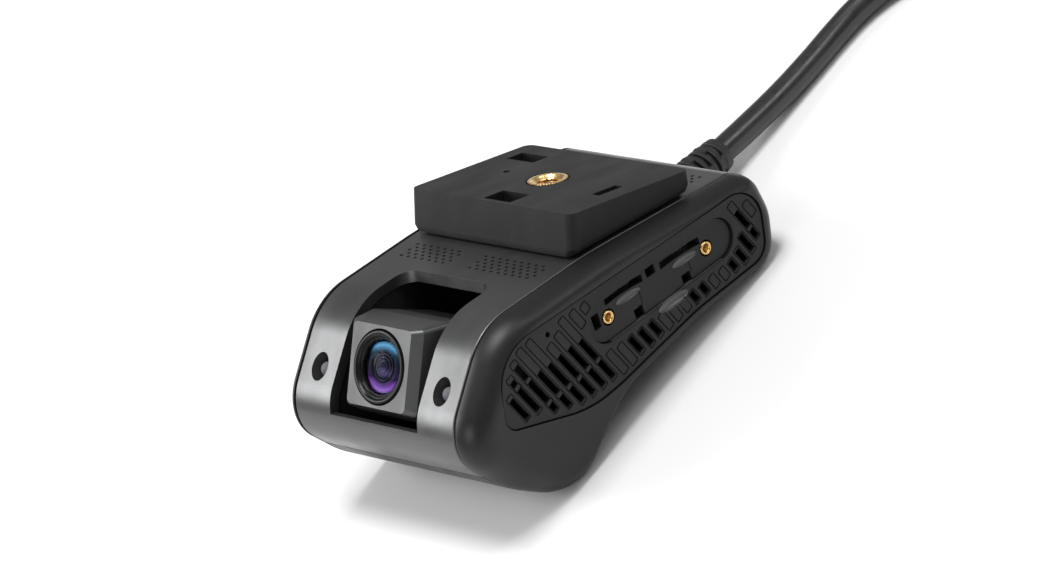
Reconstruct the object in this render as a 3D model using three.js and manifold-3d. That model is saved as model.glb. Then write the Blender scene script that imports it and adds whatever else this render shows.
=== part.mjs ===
// Dash camera with a tilting lens module, a wedge-shaped mount block and a captive cable.
// Millimetres. The camera stands on a table, on the bottoms of its head and its tail:
// +X is its right-hand side, +Y runs from the lens to the cable, +Z is up.
// The body is drawn in its own frame, whose origin is the centre of the mount block's top face
// and whose Z is that face's normal, and is then tipped onto the table as one group.
import * as THREE from "three";
import { mergeVertices } from "three/addons/utils/BufferGeometryUtils.js";
import Module from "manifold-3d";

const wasm = await Module();
wasm.setup();

// ---- driving dimensions -------------------------------------------------------------------
const gap = 0.3;                    // between pieces that touch or are cut by one another
const bandHalf = 25;                // half width of the wrap-around band
const cheekDepth = 6.7;             // how far the right cheek stands out beyond the band
const leftDepth = 1.6;              // the same for the left cover
const bandWall = 2.4;
const cheekWall = 1.8;
const faceWall = 3.2;               // the right cheek's flat side, which seats the panel
const cornerSteps = 6;              // segments in each rounded corner

// The body's side outline: [y, z, radius] of each corner, from the top going rearwards.
const sideOutline = [
  [-14.5, -9.1, 150], [30.5, -3.5, 5], [34.6, -13, 12], [34.4, -23.3, 7],
  [8.5, -29.95, 60], [-12.1, -37.9, 22], [-29.5, -56.2, 11], [-44.5, -49.9, 30],
  [-55.5, -41, 9.5], [-55.5, -33.2, 11.5], [-44.6, -15.5, 17],
];
// How far each edge of the outline draws in over the right cheek's domed edge.
const cheekInsets = [3, 3.8, 4.2, 2.3, 1.9, 2.6, 4.8, 5.7, 6.2, 6, 3.6];
const headBottom = 6;               // corners that the camera rests on
const tailBottom = 3;
const bodyShift = 2.1;              // the block's centre, to the left of the part's origin

// Mount block.
const blockWidth = 50;
const blockFront = -16.7;
const blockRear = 17.4;
const blockDraft = 1.3;             // how far the front face leans forward at its foot
const blockCorner = 2;
const baseThickness = 0.8;
const baseInset = 1;
const insertRadius = 4.4;
const insertBore = 2.6;
const insertLength = 5;
const hookHoles = [                 // [x centre, y centre, x size, y size]
  [0.9, -12.5, 8.2, 5.6], [-17, 9.9, 8.3, 4.5], [19.1, -0.8, 2.3, 6.8],
];
const hookDepth = 5;
const mountPinX = 19;
const mountPinFront = -11;
const mountPinRear = 9;

// Camera module: it turns in a round well behind the pocket in the band.
const tiltAxis = [-36.7, -30];      // y, z
const lensPitch = 17.8;             // degrees that the lens looks up at rest
const faceDistance = 16;            // tilt axis to the module's front face
const faceHalfWidth = 9;
const faceHalfHeight = 8.5;
const moduleHalfWidth = 12.3;
const moduleHalfHeight = 10.7;
const moduleWall = 1.5;
const moduleRearDepth = 8.5;
const pocketHalfWidth = 13.7;
const pocketFoot = -36.2;           // z of the pocket's lower edge
const pocketHead = -29.8;           // y of the pocket's upper edge
const pocketCorner = 4;
const wellRadius = 19.3;
const wellWall = 1.2;
const pinRadius = 2;
const washerThickness = 0.6;
const lensRingRadius = 7.6;
const glassRadius = 5.3;
const barrelRadius = 6.4;
const barrelLength = 11;

// Infra-red lamps beside the lens.
const lampX = 19.1;
const lampHeight = -27.6;
const lampHoleHalfWidth = 2.4;
const lampHoleHalfHeight = 3.1;
const lampRadius = 1.9;

// Side panel with its slots and the card bay.
const panelOutline = [
  [-47.3, -36.3, 3.5], [-46.8, -19.6, 12], [29.8, -4.8, 7], [30, -21.6, 5],
  [8.5, -27.2, 60], [-15, -36, 40], [-24, -38.6, 30],
];
const panelThickness = 1.4;
const panelDrop = 0.3;              // below the cheek's flat side
const panelLedge = 1.2;
const slotAngle = -53;              // degrees from rearward, downwards
const slotPitch = 2.86;
const slotWidth = 1.8;
const firstSlot = -33.7;            // offset of slot 0 across the slots
// Windows: [slot number, start, end], measured along the slots.
const windows = [
  [0, 4.3, 10.7], [0, 11.5, 17.1], [1, 2.8, 9.7], [1, 10.5, 16], [2, 1.7, 8.9], [2, 9.8, 14.8],
  [3, 0.6, 7.8], [3, 8.7, 13.4], [4, -0.6, 6.7], [4, 7.6, 11.6], [5, -6.5, -2.2],
  [5, -1.4, 5.6], [5, 6.4, 9.2], [6, -5.3, -3.6], [6, -2.7, 4.7], [7, -2.9, 3.7],
  [-3, 14.6, 19.9], [-4, 15.8, 21.3], [-5, 17.3, 21.9], [-9, 22.6, 26.2], [-10, 23.9, 27.7],
  [-13, 27.4, 30.3], [-14, 27.5, 31.3], [-15, 25.8, 31.3], [-16, 21.8, 27], [-16, 27.8, 31],
];
const pinhole = [-32.7, -19.8, 0.6]; // y, z, radius
const buttonTravel = 0.5;
const bayCentre = [0, -18.2];
const bayAngle = 13;
const bayLength = 43.3;
const bayWidth = 9.2;
const bayDepth = 0.7;               // below the panel's outer face
const bayFloor = 1.2;
const bayFlange = 1.1;
const boardAngle = 10.2;
const cardSlots = {                 // y, z, length along the slot
  microsd: [-10.4, -16.8, 11.2], sim: [6.2, -13.9, 11.9],
};
const cardSlotHeight = 1.3;
const socketDepth = 13;
const socketHeight = 2.2;
const bayInserts = { bay_insert_front: [-15.4, -21.5], bay_insert_rear: [13.7, -15.4] };
const bayInsertRadius = 1.5;
const bayInsertBore = 0.8;
const bayInsertLength = 3;
const latchHoles = [                // y, z, length, height
  [-18.9, -21.5, 1.7, 3.2], [-2.5, -14.6, 2.2, 2.2], [-7, -23, 2.2, 2.2], [7.3, -20, 2.2, 2.2],
];

// Cable.
const cableRadius = 3;
const cableExit = [33.4, -14.2];    // y, z on the tail's rear face
const cableAngle = 20;              // degrees above rearward, in the body's frame
const glandRadius = 5;
const glandEnd = 3.9;
const glandLength = 17;
const glandRibs = 5;
const coilInner = 23.6;
const coilOuter = 36.4;
const coilHeight = 12.4;
const strapWall = 0.7;
const strapWidth = 4;
const plugWidth = 14;
const plugHeight = 9;
const plugLength = 22;
const plugWall = 1.4;
const plugMouth = 14;               // depth of the plug's open end
const contactPitch = 2.8;
const latchWidth = 5;

// ---- small helpers ------------------------------------------------------------------------
const radians = THREE.MathUtils.degToRad;

// Welds a geometry's vertices, drops the triangles that this collapses and faces it outwards.
function finish(geometry) {
  const bare = geometry.index ? geometry.toNonIndexed() : geometry.clone();
  bare.deleteAttribute("normal");
  bare.deleteAttribute("uv");
  const welded = mergeVertices(bare, 1e-5);
  const corners = [0, 1, 2].map(() => new THREE.Vector3());
  const index = [];
  let volume = 0;
  for (let i = 0; i < welded.index.count; i += 3) {
    const triangle = [0, 1, 2].map((k) => welded.index.getX(i + k));
    if (new Set(triangle).size === 3) {
      corners.forEach((corner, k) => corner.fromBufferAttribute(welded.attributes.position, triangle[k]));
      volume += corners[0].dot(corners[1].clone().cross(corners[2]));
      index.push(...triangle);
    }
  }
  welded.setIndex(volume < 0 ? index.reverse() : index);
  return welded;
}

function solid(geometry) {
  const welded = finish(geometry);
  return new wasm.Manifold(new wasm.Mesh({
    numProp: 3,
    vertProperties: new Float32Array(welded.attributes.position.array),
    triVerts: new Uint32Array(welded.index.array),
  }));
}

function geometryOf(manifold) {
  const mesh = manifold.getMesh();
  const geometry = new THREE.BufferGeometry();
  geometry.setAttribute("position", new THREE.BufferAttribute(mesh.vertProperties, 3));
  geometry.setIndex(new THREE.BufferAttribute(mesh.triVerts, 1));
  return geometry;
}

function cut(base, ...tools) {
  return tools.reduce((left, tool) => left.subtract(solid(tool)), solid(base));
}

function box(xs, ys, zs) {
  const size = [xs, ys, zs].map(([low, high]) => high - low);
  const centre = [xs, ys, zs].map(([low, high]) => (low + high) / 2);
  return new THREE.BoxGeometry(...size).translate(...centre);
}

// A cylinder or cone along X between two places.
function rodX(radius, x0, x1, y, z, segments = 24, endRadius = radius) {
  return new THREE.CylinderGeometry(endRadius, radius, x1 - x0, segments)
    .rotateZ(-Math.PI / 2).translate((x0 + x1) / 2, y, z);
}

function rodZ(radius, z0, z1, x, y, segments = 24) {
  return new THREE.CylinderGeometry(radius, radius, z1 - z0, segments)
    .rotateX(Math.PI / 2).translate(x, y, (z0 + z1) / 2);
}

// A solid of revolution about Y from [radius, y] points; a ring's profile closes on itself.
function turned(profile, segments = 32) {
  return new THREE.LatheGeometry(profile.map(([r, y]) => new THREE.Vector2(r, y)), segments);
}

// A bar's end face, or a plate's outline: a polygon drawn on (y, z) and run along X.
function prism(points, x0, x1) {
  const shape = new THREE.Shape(points.map(([y, z]) => new THREE.Vector2(y, z)));
  const turn = new THREE.Matrix4().makeBasis(
    new THREE.Vector3(0, 1, 0), new THREE.Vector3(0, 0, 1), new THREE.Vector3(1, 0, 0));
  return new THREE.ExtrudeGeometry(shape, { depth: x1 - x0, bevelEnabled: false, steps: 1 })
    .applyMatrix4(turn).translate(x0, 0, 0);
}

// Skins a stack of equal-length clockwise outlines, each [x, points on (y, z)], into a solid.
function loft(clockwiseLevels) {
  const levels = clockwiseLevels.map(([x, points]) => [x, points.toReversed()]);
  const count = levels[0][1].length;
  const position = levels.flatMap(([x, points]) => points.flatMap(([y, z]) => [x, y, z]));
  const index = [];
  for (let level = 0; level + 1 < levels.length; level += 1) {
    for (let i = 0; i < count; i += 1) {
      const a = level * count + i;
      const b = level * count + ((i + 1) % count);
      index.push(a, b, a + count, b, b + count, a + count);
    }
  }
  const top = (levels.length - 1) * count;
  const flat = (points) => points.map(([y, z]) => new THREE.Vector2(y, z));
  for (const [a, b, c] of THREE.ShapeUtils.triangulateShape(flat(levels[0][1]), [])) {
    index.push(a, c, b);
  }
  for (const [a, b, c] of THREE.ShapeUtils.triangulateShape(flat(levels.at(-1)[1]), [])) {
    index.push(top + a, top + b, top + c);
  }
  const geometry = new THREE.BufferGeometry();
  geometry.setAttribute("position", new THREE.Float32BufferAttribute(position, 3));
  geometry.setIndex(index);
  return geometry;
}

// Moves each edge of a rounded outline inwards by its own distance.
function inset(corners, distances) {
  const count = corners.length;
  const distance = (i) => (Array.isArray(distances) ? distances[(i + count) % count] : distances);
  const edges = corners.map(([y, z], i) => {
    const [nextY, nextZ] = corners[(i + 1) % count];
    const length = Math.hypot(nextY - y, nextZ - z);
    const along = [(nextY - y) / length, (nextZ - z) / length];
    const inward = [along[1], -along[0]];
    return { start: [y + inward[0] * distance(i), z + inward[1] * distance(i)], along };
  });
  return corners.map(([, , radius], i) => {
    const before = edges[(i + count - 1) % count];
    const after = edges[i];
    const cross = before.along[0] * after.along[1] - before.along[1] * after.along[0];
    const offset = [after.start[0] - before.start[0], after.start[1] - before.start[1]];
    const reach = (offset[0] * after.along[1] - offset[1] * after.along[0]) / cross;
    const drawnIn = Math.min(distance(i - 1), distance(i));
    return [
      before.start[0] + before.along[0] * reach,
      before.start[1] + before.along[1] * reach,
      Math.max(0.8, radius + Math.sign(cross) * drawnIn),
    ];
  });
}

// The centre of the arc that rounds corner i, with the angles where the arc starts and ends.
function cornerArc(corners, i) {
  const count = corners.length;
  const [y, z, radius] = corners[i];
  const toward = ([otherY, otherZ]) => new THREE.Vector2(otherY - y, otherZ - z).normalize();
  const back = toward(corners[(i + count - 1) % count]);
  const ahead = toward(corners[(i + 1) % count]);
  const half = Math.acos(back.dot(ahead)) / 2;
  const middle = back.clone().add(ahead).normalize().multiplyScalar(radius / Math.sin(half));
  const centre = [y + middle.x, z + middle.y];
  const trim = radius / Math.tan(half);
  const angleAt = (side) => Math.atan2(z + side.y * trim - centre[1], y + side.x * trim - centre[0]);
  return { centre, radius, from: angleAt(back), to: angleAt(ahead) };
}

// Reduces a corner's radius where its arc and its neighbour's don't both fit on the edge.
function eased(corners) {
  const count = corners.length;
  const trims = corners.map((corner, i) => {
    const { centre, radius } = cornerArc(corners, i);
    return Math.sqrt(Math.hypot(centre[0] - corner[0], centre[1] - corner[1]) ** 2 - radius ** 2);
  });
  return corners.map(([y, z, radius], i) => {
    const shares = [i + count - 1, i + 1].map((other) => {
      const neighbour = corners[other % count];
      const edge = Math.hypot(neighbour[0] - y, neighbour[1] - z);
      return (0.98 * edge) / (trims[i] + trims[other % count]);
    });
    return [y, z, radius * Math.min(1, ...shares)];
  });
}

function rounded(outline, steps = cornerSteps) {
  const corners = eased(outline);
  return corners.flatMap((corner, i) => {
    const { centre, radius, from, to } = cornerArc(corners, i);
    const sweep = Math.atan2(Math.sin(to - from), Math.cos(to - from));
    return Array.from({ length: steps + 1 }, (_, k) => {
      const angle = from + (sweep * k) / steps;
      return [centre[0] + radius * Math.cos(angle), centre[1] + radius * Math.sin(angle)];
    });
  });
}

// A stadium on (y, z): its corners' radii are half its width.
function stadium([y, z], length, width, angle) {
  const along = [Math.cos(radians(angle)), Math.sin(radians(angle))];
  const place = (a, b) => [y + along[0] * a - along[1] * b, z + along[1] * a + along[0] * b];
  const points = [];
  for (const side of [1, -1]) {
    for (let k = 0; k <= 8; k += 1) {
      const turn = -Math.PI / 2 + (Math.PI * k) / 8;
      points.push(place(side * (length / 2 - width / 2 + (width / 2) * Math.cos(turn)),
        side * (width / 2) * Math.sin(turn)));
    }
  }
  return points;
}

function rectangle([y, z], length, height, angle) {
  const along = [Math.cos(radians(angle)), Math.sin(radians(angle))];
  return [[-1, -1], [1, -1], [1, 1], [-1, 1]].map(([a, b]) => [
    y + (along[0] * a * length - along[1] * b * height) / 2,
    z + (along[1] * a * length + along[0] * b * height) / 2,
  ]);
}

// ---- looks and placing --------------------------------------------------------------------
const looks = {
  gunmetal: [0x3a3a3c, 0.42, 0.3], black: [0x1c1c1d, 0.62, 0], panel: [0x262627, 0.6, 0],
  module: [0x55565a, 0.4, 0.4], brass: [0xc79a4b, 0.3, 1], steel: [0xa9abad, 0.35, 1],
  aluminium: [0xb9bcc0, 0.4, 1], glass: [0x1a1f38, 0.05, 0], board: [0x12402a, 0.5, 0],
  rubber: [0x18181a, 0.75, 0], cable: [0x141416, 0.35, 0], ceramic: [0xcfc9b8, 0.6, 0],
  nylon: [0xe4e2da, 0.5, 0],
};
const camera = new THREE.Group();
const body = new THREE.Group();
const lensModule = new THREE.Group();
const gland = new THREE.Group();
const plug = new THREE.Group();
camera.add(body, plug);
body.add(lensModule, gland);

function put(name, shape, look, parent = body) {
  const [color, roughness, metalness] = looks[look];
  const geometry = shape instanceof THREE.BufferGeometry ? finish(shape) : geometryOf(shape);
  const mesh = new THREE.Mesh(geometry, new THREE.MeshStandardMaterial({ color, roughness, metalness }));
  mesh.name = name;
  parent.add(mesh);
  return mesh;
}

// ---- casing -------------------------------------------------------------------------------
// The band and the bottom shell part along this line, which halves the cable's hole.
const splitFront = [-50.5, -46.6];
const splitRear = cableExit;

function beyondSplit(side) {
  const slope = (splitRear[1] - splitFront[1]) / (splitRear[0] - splitFront[0]);
  const reach = 60;
  const edge = (y) => splitFront[1] + slope * (y - splitFront[0]) - (side * gap) / 2;
  const low = splitFront[0] - reach;
  const high = splitRear[0] + reach;
  const points = [[low, edge(low)], [high, edge(high)], [high, side * 200], [low, side * 200]];
  return prism(side > 0 ? points : points.reverse(), -60, 60);
}

const bandEnd = bandHalf - gap / 2;
const outerBody = prism(rounded(sideOutline), -bandEnd, bandEnd);
const innerBody = prism(rounded(inset(sideOutline, bandWall)), -bandHalf - 1, bandHalf + 1);
const wrap = cut(outerBody, innerBody);

// The pocket's opening, cut from the front and from above, with rounded top corners, and a
// hollow behind its foot that the module's lower edge swings through.
function pocketCutters() {
  const sweep = Math.hypot(faceDistance, faceHalfHeight) + gap;
  const swing = solid(rodX(sweep, -pocketHalfWidth, pocketHalfWidth, ...tiltAxis, 64))
    .intersect(solid(box([-40, 40], [-80, tiltAxis[0]], [-80, tiltAxis[1]])));
  const front = box([-pocketHalfWidth, pocketHalfWidth], [-80, tiltAxis[0]], [pocketFoot, 0]);
  const top = new THREE.Shape();
  const head = pocketHead;
  top.moveTo(-pocketHalfWidth, -80);
  top.lineTo(pocketHalfWidth, -80);
  top.lineTo(pocketHalfWidth, head - pocketCorner);
  top.absarc(pocketHalfWidth - pocketCorner, head - pocketCorner, pocketCorner, 0, Math.PI / 2);
  top.absarc(-pocketHalfWidth + pocketCorner, head - pocketCorner, pocketCorner, Math.PI / 2, Math.PI);
  const above = new THREE.ExtrudeGeometry(top, { depth: 40, bevelEnabled: false, curveSegments: 6 })
    .translate(0, 0, tiltAxis[1]);
  return [front, above, geometryOf(swing)];
}

const frontLean = Math.atan2(sideOutline[9][1] - sideOutline[10][1], sideOutline[10][0] - sideOutline[9][0]);

// Something along the front face's normal at a lamp's place, drawn along its own +Y.
function atLamp(geometry, side) {
  const [faceY] = onFrontFace(lampHeight);
  return geometry.rotateX(-frontLean - Math.PI / 2).translate(side * lampX, faceY, lampHeight);
}

function onFrontFace(z) {
  const [lowY, lowZ] = sideOutline[9];
  const [highY, highZ] = sideOutline[10];
  return [lowY + ((z - lowZ) / (highZ - lowZ)) * (highY - lowY), z];
}

function lampHole(side) {
  return atLamp(new THREE.CylinderGeometry(1, 1, 12, 24)
    .scale(lampHoleHalfWidth, 1, lampHoleHalfHeight), side);
}

const flange = { radius: glandRadius + 1.4, near: -4.6, far: -6 };  // inside the casing
const alongCable = (radius, from, to) => new THREE.CylinderGeometry(radius, radius, to - from, 32)
  .translate(0, (from + to) / 2, 0).rotateX(radians(cableAngle)).translate(0, ...cableExit);
const glandHole = geometryOf(solid(alongCable(glandRadius + gap, -12, 8))
  .add(solid(alongCable(flange.radius + gap, -12, flange.near + gap))));
put("top_band", cut(geometryOf(wrap.subtract(solid(beyondSplit(-1)))),
  ...pocketCutters(), lampHole(-1), lampHole(1), glandHole), "gunmetal");

const caseScrews = [[-18, -36], [18, -36], [-18, 20], [18, 20]];   // x, y
const screwHead = 2.2;
function underside(y) {
  const points = rounded(sideOutline);
  let lowest = 0;
  points.forEach(([y0, z0], i) => {
    const [y1, z1] = points[(i + 1) % points.length];
    if ((y0 - y) * (y1 - y) <= 0 && y0 !== y1) {
      lowest = Math.min(lowest, z0 + ((y - y0) / (y1 - y0)) * (z1 - z0));
    }
  });
  return lowest;
}

put("bottom_shell", cut(geometryOf(wrap.subtract(solid(beyondSplit(1)))), glandHole,
  ...caseScrews.map(([x, y]) => rodZ(screwHead + gap, underside(y) - 5, underside(y) + 6, x, y))),
"black");
caseScrews.forEach(([x, y], i) => {
  const foot = underside(y) + 1.2;
  const shank = solid(rodZ(1, foot + 1, foot + 7, x, y, 12));
  put(`case_screw_${i + 1}`, solid(rodZ(screwHead, foot, foot + 1.4, x, y)).add(shank), "steel");
});

function dome(corners, insets, x0, depth, steps) {
  return Array.from({ length: steps + 1 }, (_, k) => {
    const turn = (Math.PI / 2) * (k / steps);
    const drawn = insets.map((value) => value * (1 - Math.cos(turn)));
    return [x0 + depth * Math.sin(turn), rounded(inset(corners, drawn))];
  });
}

const sideX = bandHalf + cheekDepth;
const panelOuter = sideX - panelDrop;
const panelInner = panelOuter - panelThickness;
const outerCheek = loft([
  ...dome(sideOutline, cheekInsets, bandHalf + gap / 2, cheekDepth - gap / 2, 7),
]);
const innerCheek = loft([
  [bandHalf - 1, rounded(inset(sideOutline, cheekWall))],
  ...dome(inset(sideOutline, cheekWall), cheekInsets.map((v) => v * 0.8),
    bandHalf + gap, cheekDepth - faceWall - gap, 4),
]);
put("right_cheek", cut(outerCheek, innerCheek,
  prism(rounded(panelOutline), panelInner - gap, sideX + 1),
  prism(rounded(inset(panelOutline, panelLedge)), bandHalf, sideX + 1)), "black");

// The left cover is a shallow tray whose edge draws in all round.
const leftInsets = sideOutline.map(() => leftDepth);
const leftOuter = loft(dome(sideOutline, leftInsets, bandHalf + gap / 2, leftDepth - gap / 2, 4));
const leftInner = loft([
  [bandHalf - 1, rounded(inset(sideOutline, bandWall))],
  [bandHalf + leftDepth - 1.5, rounded(inset(sideOutline, bandWall + 0.8))],
]);
const mirrorX = (manifold) => manifold.mirror([1, 0, 0]);
const speakerPlace = [4, -17.5];
const speakerHoles = [];
for (let ring = 0; ring < 3; ring += 1) {
  for (let k = 0; k < Math.max(1, ring * 6); k += 1) {
    const turn = (2 * Math.PI * k) / Math.max(1, ring * 6);
    speakerHoles.push(rodX(0.7, bandHalf, bandHalf + leftDepth + 1,
      speakerPlace[0] + 2.6 * ring * Math.cos(turn), speakerPlace[1] + 2.6 * ring * Math.sin(turn), 8));
  }
}
put("left_cover", mirrorX(cut(leftOuter, leftInner, ...speakerHoles)), "black");

// ---- side panel and card bay --------------------------------------------------------------
const slotAlong = [Math.cos(radians(slotAngle)), Math.sin(radians(slotAngle))];
function windowShape([slot, start, end]) {
  const across = firstSlot - slot * slotPitch;
  const middle = (start + end) / 2;
  const centre = [
    slotAlong[0] * middle - slotAlong[1] * across, slotAlong[1] * middle + slotAlong[0] * across,
  ];
  return rectangle(centre, end - start, slotWidth, slotAngle);
}

put("side_panel", cut(prism(rounded(inset(panelOutline, gap)), panelInner, panelOuter),
  ...windows.map((window) => prism(windowShape(window), panelInner - 1, panelOuter + 1)),
  prism(stadium(bayCentre, bayLength, bayWidth, bayAngle), panelInner - 1, panelOuter + 1),
  rodX(pinhole[2], panelInner - 1, panelOuter + 1, pinhole[0], pinhole[1], 12)), "panel");

const bayTop = panelOuter - bayDepth;
const bayPlate = [panelInner - gap - bayFloor, panelInner - gap];
const bayBlank = solid(prism(stadium(bayCentre, bayLength + 2 * bayFlange, bayWidth + 2 * bayFlange,
  bayAngle), ...bayPlate))
  .add(solid(prism(stadium(bayCentre, bayLength - 2 * gap, bayWidth - 2 * gap, bayAngle),
    bayPlate[0] + 0.2, bayTop)));
const through = [bayPlate[0] - 1, bayTop + 1];
put("card_bay", cut(geometryOf(bayBlank),
  ...Object.values(cardSlots).map(([y, z, length]) =>
    prism(rectangle([y, z], length, cardSlotHeight, boardAngle), ...through)),
  ...latchHoles.map(([y, z, length, height]) =>
    prism(rectangle([y, z], length, height, bayAngle), ...through)),
  ...Object.values(bayInserts).map(([y, z]) =>
    rodX(bayInsertRadius + gap, ...through, y, z))), "panel");

for (const [name, [y, z]] of Object.entries(bayInserts)) {
  const end = bayTop + 0.2;
  put(name, cut(rodX(bayInsertRadius, end - bayInsertLength, end, y, z, 24),
    rodX(bayInsertBore, end - bayInsertLength - 1, end + 1, y, z, 16)), "brass");
}

// The card sockets stand on the main board, with their mouths at the bay's slots.
const socketMouth = bayPlate[0] - gap;
for (const [name, [y, z, length]] of Object.entries(cardSlots)) {
  put(`${name}_socket`, cut(
    prism(rectangle([y, z], length + 1.6, socketHeight, boardAngle), socketMouth - socketDepth, socketMouth),
    prism(rectangle([y, z], length, cardSlotHeight, boardAngle), socketMouth - socketDepth + 1,
      socketMouth + 1)), "steel");
}

const switchX = panelInner - 4.2;
put("reset_button", solid(rodX(1, switchX + buttonTravel + 0.1, panelInner - 1.2, pinhole[0], pinhole[1], 16)),
  "nylon");
put("reset_switch", solid(box([switchX - 3, switchX],
  [pinhole[0] - 2.5, pinhole[0] + 2.5], [pinhole[1] - 2, pinhole[1] + 2])), "black");

// ---- inside the tail ----------------------------------------------------------------------
const inside = new THREE.Group();
const boardTop = socketHeight / 2 + gap;
inside.position.set(0, cardSlots.microsd[0], cardSlots.microsd[1] - boardTop);
inside.rotation.x = radians(boardAngle);
body.add(inside);
const boardSize = { half: 21.5, front: -6, rear: 36, thickness: 1.6 };
put("main_board", cut(box([-boardSize.half, boardSize.half], [boardSize.front, boardSize.rear],
  [-boardSize.thickness, 0])), "board", inside);
put("heat_spreader", solid(box([-17, 9], [2, 26], [gap, 4])), "aluminium", inside);
put("gps_antenna", solid(box([-9, 9], [28, 34.5], [gap, 3.6])), "ceramic", inside);
put("backup_cell", solid(new THREE.CylinderGeometry(4.3, 4.3, 30, 24).rotateZ(Math.PI / 2)
  .translate(0, 6, -boardSize.thickness - 4.8)), "aluminium", inside);
put("lte_antenna", solid(box([-20.5, -19], [4, 30], [gap, 5])), "board", inside);
put("speaker", solid(rodX(6.5, -bandHalf + 1, -bandHalf + 2.9, ...speakerPlace)), "black");

// ---- infra-red lamps ----------------------------------------------------------------------
const lampDepth = bandWall + gap;
for (const [name, side] of [["left", -1], ["right", 1]]) {
  const bulb = solid(new THREE.SphereGeometry(lampRadius, 20, 12)).translate([0, lampDepth - 2.1, 0])
    .add(solid(new THREE.CylinderGeometry(lampRadius, lampRadius, 2.6, 20).translate(0, lampDepth - 0.8, 0)));
  put(`ir_lamp_${name}`, solid(atLamp(geometryOf(bulb), side)), "glass");
  put(`lamp_board_${name}`, solid(atLamp(new THREE.BoxGeometry(7, 1.2, 9)
    .translate(0, lampDepth + 0.5 + gap + 0.6, 0), side)), "board");
}

// ---- camera well and module ---------------------------------------------------------------
const [tiltY, tiltZ] = tiltAxis;
const wellOuter = wellRadius + wellWall;
const insideCase = prism(rounded(inset(sideOutline, bandWall + gap)), -40, 40);
const wellInnerX = pocketHalfWidth + gap;
const wellSolid = solid(rodX(wellOuter, -wellInnerX - wellWall, wellInnerX + wellWall, tiltY, tiltZ, 64))
  .intersect(solid(insideCase));
put("camera_well", cut(geometryOf(wellSolid),
  rodX(wellRadius, -wellInnerX, wellInnerX, tiltY, tiltZ, 64),
  rodX(pinRadius + gap, -wellOuter, wellOuter, tiltY, tiltZ)), "black");

// In the module's own frame the tilt axis is the origin and the lens looks along -Y.
lensModule.position.set(0, tiltY, tiltZ);
lensModule.rotation.x = -radians(lensPitch);

function rectangleXZ(halfX, halfZ, y, corner = 1.2) {
  const points = [];
  for (const [sx, sz, start] of [[1, 1, 0], [-1, 1, 1], [-1, -1, 2], [1, -1, 3]]) {
    for (let k = 0; k <= 3; k += 1) {
      const turn = (Math.PI / 2) * (start + k / 3);
      points.push([sx * (halfX - corner) + corner * Math.cos(turn), y,
        sz * (halfZ - corner) + corner * Math.sin(turn)]);
    }
  }
  return points;
}

// Skins rings of [x, y, z] points, the first facing -Y.
function skin(rings) {
  const count = rings[0].length;
  const index = [];
  for (let level = 0; level + 1 < rings.length; level += 1) {
    for (let i = 0; i < count; i += 1) {
      const a = level * count + i;
      const b = level * count + ((i + 1) % count);
      index.push(a, a + count, b, b, a + count, b + count);
    }
  }
  const last = (rings.length - 1) * count;
  for (let i = 1; i + 1 < count; i += 1) {
    index.push(0, i, i + 1);
    index.push(last, last + i + 1, last + i);
  }
  const geometry = new THREE.BufferGeometry();
  geometry.setAttribute("position", new THREE.Float32BufferAttribute(rings.flat(2), 3));
  geometry.setIndex(index);
  return geometry;
}

const moduleSplit = -2;             // the front and rear halves meet here
const flare = [
  [faceHalfWidth, faceHalfHeight, -faceDistance],
  [faceHalfWidth + 2, faceHalfHeight + 0.6, -faceDistance + 1.7],
  [moduleHalfWidth, moduleHalfHeight, -9],
];
const rings = (sections, shrink) =>
  skin(sections.map(([x, z, y]) => rectangleXZ(x - shrink, z - shrink, y)));
put("module_front", cut(
  rings([...flare, [moduleHalfWidth, moduleHalfHeight, moduleSplit - gap / 2]], 0),
  rings([[faceHalfWidth, faceHalfHeight, -faceDistance + 2.6], flare[2],
    [moduleHalfWidth, moduleHalfHeight, moduleSplit + 1]], moduleWall),
  turned([[0, -faceDistance - 1], [lensRingRadius + gap, -faceDistance - 1],
    [lensRingRadius + gap, -faceDistance + 4], [0, -faceDistance + 4]]),
  rodX(pinRadius + gap, -20, 20, 0, 0)), "module", lensModule);
put("module_rear", cut(
  rings([[moduleHalfWidth, moduleHalfHeight, moduleSplit + gap / 2],
    [moduleHalfWidth, moduleHalfHeight, moduleRearDepth - 2],
    [moduleHalfWidth - 1.5, moduleHalfHeight - 1.5, moduleRearDepth]], 0),
  rings([[moduleHalfWidth, moduleHalfHeight, moduleSplit - 1],
    [moduleHalfWidth, moduleHalfHeight, moduleRearDepth - moduleWall]], moduleWall),
  rodX(pinRadius + gap, -20, 20, 0, 0)), "black", lensModule);

const pinStart = moduleHalfWidth - 4;
const pinEnd = wellInnerX + wellWall + 1;
for (const [name, side] of [["left", -1], ["right", 1]]) {
  const shank = solid(rodX(pinRadius, pinStart, pinEnd, 0, 0));
  const flange = solid(rodX(pinRadius + 1.4, pinStart - 1, moduleHalfWidth - moduleWall - gap, 0, 0));
  const washer = cut(rodX(pinRadius + 2, moduleHalfWidth + gap, moduleHalfWidth + gap + washerThickness, 0, 0),
    rodX(pinRadius + gap, 0, 40, 0, 0));
  const place = (manifold) => (side < 0 ? mirrorX(manifold) : manifold);
  put(`tilt_pin_${name}`, place(shank.add(flange)), "steel", lensModule);
  put(`friction_washer_${name}`, place(washer), "nylon", lensModule);
}

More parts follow.
